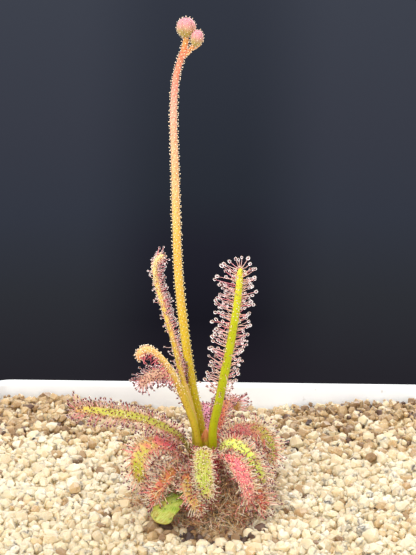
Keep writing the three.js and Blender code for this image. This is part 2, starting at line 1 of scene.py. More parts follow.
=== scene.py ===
# %% [markdown]
# # A potted sundew
#
# A sundew catches insects with sticky drops. Its leaves are narrow, fleshy blades set with thin tentacles,
# and each tentacle ends in a dark red gland inside a clear drop of mucilage. This one flowers: a tall hairy
# stalk carries two closed buds. The plant stands in quartz grit in a square white pot.
#
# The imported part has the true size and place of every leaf. Here each leaf, the stalk, the buds, the crown
# and the pot get a finer surface of the same form, and the grit gets its thousands of loose grains.

import math

import bpy
import numpy as np
from mathutils import Matrix


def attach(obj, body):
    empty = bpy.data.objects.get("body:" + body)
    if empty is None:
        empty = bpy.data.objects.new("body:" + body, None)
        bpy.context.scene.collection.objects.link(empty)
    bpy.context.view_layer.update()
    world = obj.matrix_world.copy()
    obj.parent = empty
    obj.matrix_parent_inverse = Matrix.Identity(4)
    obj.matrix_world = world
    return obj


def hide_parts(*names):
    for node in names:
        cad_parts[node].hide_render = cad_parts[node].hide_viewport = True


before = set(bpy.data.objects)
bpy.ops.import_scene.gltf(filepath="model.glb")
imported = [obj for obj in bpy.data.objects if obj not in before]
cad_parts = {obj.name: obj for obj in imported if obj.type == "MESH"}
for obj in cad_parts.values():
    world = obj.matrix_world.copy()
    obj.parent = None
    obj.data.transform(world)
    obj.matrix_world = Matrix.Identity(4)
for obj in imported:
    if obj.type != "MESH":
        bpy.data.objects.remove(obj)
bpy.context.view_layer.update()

# %% [markdown]
# ## Units and the place of the plant
#
# Lengths are written in millimetres, as a grower would measure them, and become metres only when a mesh is
# made. The crown leaves the grit at one point, and every leaf is measured from there.

# %% Units and the plant's place
MM = 0.001
GRIT_LEVEL = 53.0
PLANT = np.array([0.0, 8.0, GRIT_LEVEL])  # where the crown leaves the grit

# %% [markdown]
# ## Colours, nodes and meshes
#
# Three helpers carry the whole script. The first turns the hex colours that artists write into the linear
# values that a renderer adds up. The second adds one shader node with its settings and links. The third
# puts whole arrays of points and faces into a mesh at once, which is thousands of times faster than adding
# them one by one.


# %% Colours and shader nodes
def linear(hex_colour):
    """sRGB hex to linear RGBA: a straight line up to 0.04045, and above it a power of 2.4."""
    srgb = np.array([(hex_colour >> shift) & 255 for shift in (16, 8, 0)]) / 255
    rgb = np.where(srgb <= 0.04045, srgb / 12.92, ((srgb + 0.055) / 1.055) ** 2.4)
    return (*rgb.tolist(), 1.0)


def node(tree, kind, inputs=None, stops=None, out=None, **settings):
    """Adds a shader node and gives one of its outputs: the one named out, or else the first that is in use.

    inputs maps a socket to its value or to the output that feeds it. stops maps a ramp's places to colours.
    """
    made = tree.nodes.new("ShaderNode" + kind)
    for key, value in settings.items():
        setattr(made, key, value)
    for key, value in (inputs or {}).items():
        if isinstance(value, bpy.types.NodeSocket):
            tree.links.new(value, made.inputs[key])
        else:
            made.inputs[key].default_value = value
    if stops:
        elements = made.color_ramp.elements
        while len(elements) < len(stops):
            elements.new(1.0)
        for element, (place, hex_colour) in zip(elements, stops.items()):
            element.position = place
            element.color = linear(hex_colour)
    return made.outputs[out] if out else next((socket for socket in made.outputs if socket.enabled), None)


def new_finish(name):
    """A new material without nodes, and its node tree."""
    material = bpy.data.materials.new(name)
    material.use_nodes = True
    material.node_tree.nodes.clear()
    return material, material.node_tree


def nudged(tree, value, noise, amount):
    """A value that noise moves up and down: value + amount * (noise - 0.5)."""
    moved = node(tree, "Math", {0: noise, 1: amount, 2: -amount / 2}, operation="MULTIPLY_ADD")
    return node(tree, "Math", {0: value, 1: moved})


# %% Meshes from whole arrays
FACES = {"quads": 4, "triangles": 3}  # corners of each kind of face
NUMBERS = ("along", "across", "tone")  # what a point can tell its material


def make_piece(name, parts, replaced=(), slot=None, smooth=True):
    """Puts surfaces, in millimetres and each with its material, into one mesh that rides on the plant's body.

    Each surface's faces are shifted past the points of the surfaces before it.
    """
    surfaces, materials = zip(*parts)
    finishes = list(dict.fromkeys(materials))
    starts = np.cumsum([0] + [len(s["points"]) for s in surfaces[:-1]])
    points = np.concatenate([s["points"] for s in surfaces])
    faces = [np.concatenate([s[kind] + start for s, start in zip(surfaces, starts)]) for kind in FACES]
    finish = np.concatenate([np.full(len(s[kind]), finishes.index(m)) for kind in FACES for s, m in parts])
    corners = np.concatenate([kind.ravel() for kind in faces])
    sizes = np.repeat(list(FACES.values()), [len(kind) for kind in faces])

    mesh = bpy.data.meshes.new(name)
    mesh.vertices.add(len(points))
    mesh.vertices.foreach_set("co", (points * MM).ravel().astype(np.float32))
    mesh.loops.add(len(corners))
    mesh.loops.foreach_set("vertex_index", corners.astype(np.int32))
    mesh.polygons.add(len(sizes))
    mesh.polygons.foreach_set("loop_start", (np.cumsum(sizes) - sizes).astype(np.int32))
    mesh.polygons.foreach_set("use_smooth", np.full(len(sizes), smooth))
    for material in finishes:
        mesh.materials.append(material)
    mesh.polygons.foreach_set("material_index", finish.astype(np.int32))
    mesh.update(calc_edges=True)
    for key in NUMBERS:
        values = np.concatenate([s.get(key, np.zeros(len(s["points"]))) for s in surfaces])
        mesh.attributes.new(key, "FLOAT", "POINT").data.foreach_set("value", values.astype(np.float32))

    made = bpy.data.objects.new(name, mesh)
    bpy.context.scene.collection.objects.link(made)
    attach(made, "root")
    if replaced:
        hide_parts(*replaced)
    print(f"{name}: {int((sizes - 2).sum())} triangles")
    return made


# %% [markdown]
# ## Lines and skins
#
# A leaf, a stem, a tentacle, a hair and even a drop are all a ring of points carried along a line. So one
# function lays smooth lines through a few points, one carries a frame of directions along a line, and one
# wraps closed skins round any number of lines at once.


# %% A smooth line and its directions
def unit(vectors):
    """Vectors of length one."""
    return vectors / np.maximum(np.linalg.norm(vectors, axis=-1, keepdims=True), 1e-9)


def at(values, share):
    """Numbers or points that stand at even steps along something, read at any shares of its length."""
    values = np.asarray(values, float)
    places = np.linspace(0, 1, len(values))
    if values.ndim == 1:
        return np.interp(share, places, values)
    return np.stack([np.interp(share, places, column) for column in values.T], axis=-1)


def line_through(points, count):
    """Count evenly spaced places on a smooth line through points.

    Each stretch is a cubic. Its slope at a point adds the two chords that meet there, each over the square
    root of its length, and takes away the chord that skips the point, so sharp bends don't overshoot.
    """
    points = np.asarray(points, float)
    before, after = 2 * points[0] - points[1], 2 * points[-1] - points[-2]
    padded = np.vstack([before, points, after])
    step = np.sqrt(np.linalg.norm(np.diff(padded, axis=0), axis=1))[:, None]
    chord = np.diff(padded, axis=0) / step
    slope = chord[:-1] + chord[1:] - (padded[2:] - padded[:-2]) / (step[:-1] + step[1:])
    t = np.linspace(0, 1, 30, endpoint=False)[:, None, None]
    leave, arrive = slope[:-1] * step[1:-1], slope[1:] * step[1:-1]
    rise = points[1:] - points[:-1]
    cubic = points[:-1] + leave * t + (3 * rise - 2 * leave - arrive) * t**2
    cubic = cubic + (leave + arrive - 2 * rise) * t**3
    fine = np.vstack([cubic.transpose(1, 0, 2).reshape(-1, 3), points[-1]])
    length = np.concatenate([[0], np.cumsum(np.linalg.norm(np.diff(fine, axis=0), axis=1))])
    even = np.linspace(0, length[-1], count)
    return np.stack([np.interp(even, length, column) for column in fine.T], axis=1)


def directions(line, upper):
    """Ahead, side and up at each place of a line. Up is carried from place to place without twisting."""
    ahead = unit(np.gradient(line, axis=0))
    up = np.empty_like(ahead)
    carried = np.asarray(upper, float)
    for place, forward in enumerate(ahead):
        carried = unit(carried - forward * (carried @ forward))
        up[place] = carried
    return ahead, np.cross(up, ahead), up


def crosswise(way, ahead):
    """Two directions square to ahead and to each other."""
    side = unit(np.cross(ahead, way[:, [1, 2, 0]] + 0.3))
    return side, np.cross(ahead, side)


# %% Closed skins round many lines at once
def wrap(centre, side, up, ring, **numbers):
    """Closed skins round N lines of K places: centre is (N, K, 3), and side and up are that or (N, 3).

    ring gives S corners at each place, as steps along side and up, and stretches to (N, K, S, 2). A point is
    centre + ring_x * side + ring_y * up, and each end closes on its centre point. numbers, such as along, are
    given for each place, or as (N, K, S) for each corner, and are then 0 at the end points.
    """
    side, up = [way[:, None] if way.ndim == 2 else way for way in (side, up)]
    lines, places = centre.shape[:2]
    around = ring.shape[-2]
    ring = np.broadcast_to(ring, (lines, places, around, 2))
    skin = centre[:, :, None] + ring[..., :1] * side[:, :, None] + ring[..., 1:] * up[:, :, None]
    points = np.concatenate([skin.reshape(lines, -1, 3), centre[:, [0, -1]]], axis=1)
    here = np.arange(places - 1)[:, None] * around + np.arange(around)
    beside = np.roll(here, -1, axis=1)
    quads = np.stack([here, beside, beside + around, here + around], axis=-1).reshape(-1, 4)
    first = np.arange(around)
    last = first + (places - 1) * around
    hub = np.full(around, places * around)
    triangles = np.concatenate([
        np.stack([np.roll(first, -1), first, hub], axis=1),
        np.stack([last, np.roll(last, -1), hub + 1], axis=1),
    ])
    shift = (np.arange(lines) * points.shape[1])[:, None, None]
    made = {
        "points": points.reshape(-1, 3),
        "quads": (quads + shift).reshape(-1, 4),
        "triangles": (triangles + shift).reshape(-1, 3),
    }
    for key, given in numbers.items():
        given = np.asarray(given, float)
        whole = given if given.ndim == 3 else np.atleast_2d(given)[..., None]
        whole = np.broadcast_to(whole, (lines, places, around))
        ends = np.zeros((lines, 2)) if given.ndim == 3 else whole[:, [0, -1], 0]
        made[key] = np.concatenate([whole.reshape(lines, -1), ends], axis=1).ravel()
    return made


def upright(levels, ring, foot=(0, 0, 0), **numbers):
    """A closed skin round an upright line over foot, with the corners of ring (K, S, 2) at each level."""
    centre = np.asarray(foot) + np.outer(levels, [0, 0, 1])
    return wrap(centre[None], np.array([[1.0, 0, 0]]), np.array([[0, 1.0, 0]]), ring, **numbers)


def circle(sides):
    """Corners of a regular polygon of radius one, anticlockwise."""
    angle = np.arange(sides) * 2 * np.pi / sides
    return np.stack([np.cos(angle), np.sin(angle)], axis=-1)


# %% [markdown]
# ## The camera
#
# The plant is looked at from the front and 15 degrees above, from about 26 cm. The camera comes first, so
# that every later step can be judged through it.

# %% Camera
FRAME_HEIGHT_PX = 555
FOCAL_PX = 1000.0
SENSOR = 36.0
TURN, PITCH = math.radians(2), math.radians(15)
EYE = PLANT + np.array([8.432, -227.123, 117.710])

forward = np.array([-math.sin(TURN) * math.cos(PITCH), math.cos(TURN) * math.cos(PITCH), -math.sin(PITCH)])
right = np.array([math.cos(TURN), math.sin(TURN), 0.0])
camera_turn = np.column_stack([right, np.cross(right, forward), -forward])

camera = bpy.data.objects.new("camera", bpy.data.cameras.new("camera"))
camera.data.sensor_width = SENSOR
camera.data.lens = FOCAL_PX * SENSOR / FRAME_HEIGHT_PX
camera.data.clip_start, camera.data.clip_end = 0.01, 10
camera.matrix_world = Matrix.Translation(EYE * MM) @ Matrix(camera_turn.tolist()).to_4x4()
bpy.context.scene.collection.objects.link(camera)
bpy.context.scene.camera = camera
print("lens", round(camera.data.lens, 2), "mm")

# %% [markdown]
# ## Light, floor and background
#
# The plant glows because soft light comes from everywhere. The world is pale for all rays that light the
# plant, and dark blue-grey where the camera looks straight at it, so that pale drops stand out. What shines
# or shows through a drop sees the world a little brighter, like the white sheets that photographers hang
# round glass. A main lamp, a lamp behind and a weak fill in front add a direction to the light. The floor
# is a pale round plate.

# %% Light and background
BACKDROP_EDGE = {0.06: 0x27262C, 0.25: 0x2E3036, 0.45: 0x343843, 0.65: 0x393C47, 1: 0x3F434E}
BACKDROP_MIDDLE = {0.06: 0x211E26, 0.18: 0x1A1921, 0.35: 0x22222C, 0.5: 0x292D36, 1: 0x353944}
LOWEST, HIGHEST = -0.37, 0.02  # from the pot's rim up to the bud: the z of a ray of length one
MIDDLE, HALF_DARK, HALF_PALE = 0.035, 0.03, 0.13  # where the backdrop is darkest, by the x of that ray
SKY = 0xF8F4F0
SKY_STRENGTH = 0.79  # on matt surfaces
SHEET_STRENGTH = 1.15  # in reflections and through drops
LAMPS = {  # place, width and power: the main one is high at the left front, the fill is low in front
    "key": ((-0.30, -0.34, 0.58), 0.45, 3.2),
    "fill": ((0.12, -0.52, 0.17), 0.4, 0.85),
    "back": ((0.25, 0.42, 0.50), 0.35, 2.1),
}

world = bpy.data.worlds.new("studio")
bpy.context.scene.world = world
world.use_nodes = True
tree = world.node_tree
tree.nodes.clear()
matt, straight = [node(tree, "LightPath", out=f"Is {ray} Ray") for ray in ("Diffuse", "Camera")]
strength = node(tree, "MapRange", {"Value": matt, "To Min": SHEET_STRENGTH, "To Max": SKY_STRENGTH})
lit = node(tree, "Background", {"Color": linear(SKY), "Strength": strength})
ray = node(tree, "TexCoord", out="Generated")
aside, above = [node(tree, "SeparateXYZ", {"Vector": ray}, out=axis) for axis in "XZ"]
level = node(tree, "MapRange", {"Value": above, "From Min": LOWEST, "From Max": HIGHEST})
edge, middle = [node(tree, "ValToRGB", {"Fac": level}, ramp) for ramp in (BACKDROP_EDGE, BACKDROP_MIDDLE)]
off = node(tree, "Math", {0: node(tree, "Math", {0: aside, 1: MIDDLE})}, operation="ABSOLUTE")
pale = node(tree, "MapRange", {"Value": off, "From Min": HALF_DARK, "From Max": HALF_PALE},
            interpolation_type="SMOOTHSTEP")
fade = node(tree, "Mix", {0: pale, 6: middle, 7: edge}, data_type="RGBA")
seen = node(tree, "Background", {"Color": fade, "Strength": 1.0})
node(tree, "OutputWorld", {"Surface": node(tree, "MixShader", {"Fac": straight, 1: lit, 2: seen})})

for name, (place, width, power) in LAMPS.items():
    lamp = bpy.data.lights.new(name, "AREA")
    lamp.energy, lamp.size = power, width
    holder = bpy.data.objects.new(name, lamp)
    aim = Matrix.Translation(place).to_translation() - Matrix.Translation(PLANT * MM).to_translation()
    holder.location = place
    holder.rotation_euler = aim.to_track_quat("Z", "Y").to_euler()
    bpy.context.scene.collection.objects.link(holder)

bpy.context.scene.view_settings.view_transform = "Standard"
print("lamps", len(LAMPS))

# %% Floor
FLOOR_RADIUS = 215.0  # mm, so that its far edge hides behind the pot's rim
FLOOR_LEVELS = np.array([-6.0, -6.0, -1.0, -0.3, 0.0]) - 0.05
FLOOR_RADII = FLOOR_RADIUS - np.array([1.0, 0.0, 0.0, 0.3, 1.0])

paint, tree = new_finish("matt_white_board")
mottle = node(tree, "TexNoise", {"Scale": 40.0, "Detail": 3.0})
hue = node(tree, "ValToRGB", {"Fac": mottle}, {0.3: 0xD9D8D4, 0.7: 0xE3E2DF})
board = node(tree, "BsdfPrincipled", {"Base Color": hue, "Roughness": 0.6})
node(tree, "OutputMaterial", {"Surface": board})
floor = make_piece("floor", [(upright(FLOOR_LEVELS, FLOOR_RADII[:, None, None] * circle(96)), paint)])

# %% [markdown]
# ## Plant tissue
#
# Living leaf is a thin waxy skin over wet green or red cells: a soft gloss, an IOR near 1.4, and light that
# spreads a little under the surface. Its colour changes along the leaf, from the stem to the tip, and is
# broken up by cells and by small red glands. So the colour comes from a ramp that follows the leaf's own
# length, which the mesh stores as the attribute "along", nudged by fine noise.


# %% Leaf skin
def leaf_skin(name, stops, edge=0xC8505C, edge_share=0.35, streak=0xC8505C, streaks=0.2, dot=0x8A2436,
              dots=1500.0, dotted=0.6, sway=0.3, bump=0.25):
    """Waxy leaf skin. stops colour it from foot to tip and sway breaks them up, edge tints its margins,
    streak runs along it in thin lines, and dot is its sessile glands."""
    material, tree = new_finish(name)
    place = node(tree, "TexCoord", out="Object")
    along, across = [node(tree, "Attribute", out="Fac", attribute_name=key) for key in ("along", "across")]
    blotch = node(tree, "TexNoise", {"Vector": place, "Scale": 500.0, "Detail": 3.0})
    hue = node(tree, "ValToRGB", {"Fac": nudged(tree, along, blotch, sway)}, stops)
    flow = node(tree, "CombineXYZ", {"X": along, "Y": across, "Z": blotch})
    flow = node(tree, "Mapping", {"Vector": flow, "Scale": (9.0, 16.0, 2.0)})
    line = node(tree, "TexNoise", {"Vector": flow, "Scale": 1.0, "Detail": 2.0})
    line = node(tree, "MapRange", {"Value": line, "From Min": 0.46, "From Max": 0.6, "To Max": streaks})
    rim = node(tree, "MapRange", {"Value": across, "From Min": 0.5, "From Max": 1.0, "To Max": edge_share})
    cell = node(tree, "TexVoronoi", {"Vector": place, "Scale": dots})
    speck = node(tree, "MapRange", {
        "Value": cell, "From Min": 0.15, "From Max": 0.27, "To Min": dotted, "To Max": 0.0})
    for share, colour in ((line, streak), (rim, edge), (speck, dot)):
        hue = node(tree, "Mix", {0: share, 6: hue, 7: linear(colour)}, data_type="RGBA")
    grain = node(tree, "TexNoise", {"Vector": place, "Scale": 2600.0, "Detail": 2.0})
    skin = node(tree, "BsdfPrincipled", {
        "Base Color": hue,
        "Normal": node(tree, "Bump", {"Height": grain, "Strength": bump, "Distance": 0.0002}),
        "Roughness": 0.42, "IOR": 1.4, "Specular IOR Level": 0.32, "Coat Weight": 0.1, "Coat Roughness": 0.25,
        "Subsurface Weight": 0.22, "Subsurface Scale": 0.001, "Subsurface Radius": (1.0, 0.6, 0.3)})
    node(tree, "OutputMaterial", {"Surface": skin})
    return material


GLANDS = dict(dot=0x7A1C30, dots=1300.0)  # large dark red ones, as on most of the red leaves
SKINS = {name: leaf_skin("leaf_skin_" + name, **look) for name, look in {
    "fresh_green": dict(
        stops={0: 0x9A9A08, 0.2: 0xA8AE0A, 0.42: 0xBAC210, 0.8: 0xD2D81A, 1: 0xF2EC48},
        edge_share=0.1, streak=0xB0B010, dot=0x8A5A18),
    "golden": dict(
        stops={0: 0xA09A04, 0.25: 0xB6A60C, 0.5: 0xCCAA30, 0.8: 0xF8D870, 1: 0xFCECA8},
        edge=0xE8B488, edge_share=0.4, streak=0xC89030, dot=0x9A5A30),
    "olive_to_gold": dict(
        stops={0: 0x9C9600, 0.3: 0xB8A80C, 0.55: 0xD2B034, 0.8: 0xF8D07C, 1: 0xF8B080},
        edge=0xE8B068, edge_share=0.2, streak=0xB89020, dot=0x8A4A28),
    "yellow_green": dict(
        stops={0: 0x948C24, 0.25: 0xA4983C, 0.5: 0xC0BC4C, 0.85: 0xD2CE58, 0.94: 0xE0C858, 1: 0xE8A068},
        edge=0xE0A890, edge_share=0.5, streak=0xE8E8A0, dot=0x7A1C34, dots=1300.0, dotted=0.9, sway=0.1),
    "lime": dict(
        stops={0: 0xF4DC78, 0.3: 0xECE05C, 0.5: 0xB4B028, 0.72: 0x9CA812, 0.92: 0xDCE464, 1: 0xF4F098},
        edge=0xECE098, edge_share=0.5, streak=0xF4F0A0, streaks=0.5, dot=0x987018, dots=1800.0, dotted=0.35,
        sway=0.6),
    "sunlit_lime": dict(
        stops={0: 0xE8E890, 0.4: 0xE4F464, 0.8: 0xD8E858, 1: 0xE8E078},
        edge=0xF4D8B4, edge_share=0.5, streak=0xF0F4B8, streaks=0.4, dot=0x902030, dots=1100.0, dotted=0.95),
    "crimson_to_olive": dict(
        stops={0: 0xC07848, 0.18: 0xF05060, 0.5: 0xFE9098, 0.6: 0xF4A884, 0.7: 0xD4D068, 0.9: 0xB4C634,
               1: 0xDCC468},
        edge=0xFCB0A8, edge_share=0.6, streak=0xC83048, streaks=0.5, dotted=0.5, sway=0.5, **GLANDS),
    "mauve_to_olive": dict(
        stops={0: 0xA85058, 0.3: 0xD06870, 0.52: 0xE08C80, 0.64: 0xD4D068, 0.85: 0xC8E05C, 1: 0xD8D078},
        edge=0xF0A090, edge_share=0.6, streak=0x982840, streaks=0.7, dotted=0.8, sway=0.5, **GLANDS),
    "coral": dict(
        stops={0: 0xC82840, 0.28: 0xE43048, 0.45: 0xF2606E, 0.8: 0xFCA4A0, 1: 0xFEC8B4},
        edge=0xFCC4B4, edge_share=0.5, streak=0xD03450, streaks=0.7, dot=0x98202C),
    "orange": dict(
        stops={0: 0xB86848, 0.35: 0xE88464, 0.6: 0xD89858, 0.8: 0xCCB858, 1: 0xE4C878},
        edge=0xF4C4A8, edge_share=0.6, streak=0xB03838, streaks=0.8, dotted=0.8, sway=0.9, **GLANDS),
    "blush": dict(
        stops={0: 0xD09868, 0.4: 0xFCCEA4, 0.7: 0xFEDCAC, 1: 0xFCD4C0},
        edge=0xFCDCC8, edge_share=0.6, streak=0xE08070, streaks=0.6),
    "magenta": dict(stops={0: 0xE09890, 0.4: 0xF6AAC8, 1: 0xF4A8C6}),
    "shaded": dict(
        stops={0: 0xA08E30, 0.4: 0xA89E2C, 0.7: 0xC49048, 1: 0xDC7C60},
        edge=0xF0A890, edge_share=0.6, streak=0xB83C40, streaks=0.7, dotted=0.8, sway=0.9, **GLANDS),
    "dead": dict(
        stops={0: 0xA07848, 0.5: 0xD4AC7C, 1: 0xB48C64},
        edge=0x8C6044, edge_share=0.5, streak=0x6A4430, streaks=0.5, dot=0x4A2C28, bump=0.6),
    "bright_green": dict(
        stops={0: 0x4A6408, 0.35: 0x608414, 0.6: 0x84A020, 0.8: 0xB0BC50, 1: 0xA08830},
        edge=0x8C9428, edge_share=0.4, streak=0xD0D888, streaks=0.5, dot=0x405C0C, dots=700.0, sway=1.1,
        bump=1.0),
}.items()}
print("leaf skins", len(SKINS))

# %% [markdown]
# ## Tentacles and drops
#
# A tentacle is a translucent stalk, pink where the light shines through it, with a dark wine-red gland at its
# end. The drop round the gland is mucilage, a clear thick liquid with an IOR close to that of water. The lens
# that it makes is what gives each tentacle a bright ring round a dark point, so it is real refracting liquid
# here and not a painted ring.


# %% Tentacle tissue and mucilage
def tentacle_tissue(name, root, stalk, neck, gland, other):
    """Translucent stalk with a dark gland: the ramp follows each tentacle's own length, and some are of the
    other colour."""
    material, tree = new_finish(name)
    along, tone = [node(tree, "Attribute", out="Fac", attribute_name=key) for key in ("along", "tone")]
    own, second = [node(tree, "ValToRGB", {"Fac": along}, {**ramp, 0.86: gland, 1: gland}) for ramp in (
        {0: root, 0.4: stalk, 0.78: neck}, {0: other, 0.78: other})]
    chosen = node(tree, "MapRange", {"Value": tone, "From Min": 0.5, "From Max": 0.9})
    hue = node(tree, "Mix", {0: chosen, 6: own, 7: second}, data_type="RGBA")
    light = node(tree, "MapRange", {"Value": tone, "To Min": 0.95, "To Max": 1.15})
    hue = node(tree, "HueSaturation", {"Color": hue, "Value": light})
    tissue = node(tree, "BsdfPrincipled", {
        "Base Color": hue, "Roughness": 0.35, "IOR": 1.4, "Coat Weight": 0.15, "Coat Roughness": 0.15,
        "Subsurface Weight": 0.6, "Subsurface Scale": 0.0005, "Subsurface Radius": (0.7, 0.85, 0.9)})
    node(tree, "OutputMaterial", {"Surface": tissue})
    return material


TENTACLES = {name: tentacle_tissue("tentacle_" + name, *colours) for name, colours in {
    "rosy": (0xE8C080, 0xF8BCB0, 0xF0A8A8, 0x700C20, 0xD8707C),
    "crimson": (0xE08068, 0xD83C50, 0xE46878, 0x6A0C20, 0xF08C90),
    "pale": (0xF0E890, 0xFEF8CC, 0xFCE4BC, 0x901828, 0xF8A890),
    "red": (0xF8D078, 0xFFECC4, 0xFFE8CC, 0x700818, 0xF8807C),
    "dry": (0xA88058, 0xE0B488, 0xECD0B0, 0x5A2420, 0xC88C64),
}.items()}

mucilage, tree = new_finish("mucilage")
ripple = node(tree, "TexNoise", {"Scale": 900.0})
hue = node(tree, "ValToRGB", {"Fac": ripple}, {0.3: 0xFFF6F4, 0.7: 0xFFFFFF})
liquid = node(tree, "BsdfPrincipled", {
    "Base Color": hue, "Roughness": 0.02, "IOR": 1.36, "Transmission Weight": 1.0})
node(tree, "OutputMaterial", {"Surface": liquid})
print("tentacle tissues", len(TENTACLES))

# %% [markdown]
# ## The leaves
#
# Each leaf is a line through a few points, measured in millimetres from the crown, with a width that swells
# and closes to a round tip. The table says what differs from leaf to leaf, and the first row says what a
# leaf has otherwise.
#
# - Blade: `upper` is where its upper side faces at the foot, `fleshy` the thickness of a leaf with a fleshy
#   stalk, from foot to tip, `wrinkle` how unevenly it swells, and `crumple` how deeply it is dented.
# - Tentacles: `bare` is the share of the length without them, `gap` the leaf's own gap between them, `thin`
#   a factor on it in the outermost rank, `reach` their length, `splay` how far they turn outwards, `turn`
#   how far all of them turn to one side, `scatter` how unevenly, `lean` how far they lean ahead, `tangle`
#   how much they bend, and `lopsided` how much shorter they are on one side. `fan` of them stand round the
#   tip, `tip` times as long. `fine` ones are slender, and `stray` ones stand anywhere on the blade.
# - `drop` is the width of a drop, and `fuzz` the number of short hairs between the tentacles.

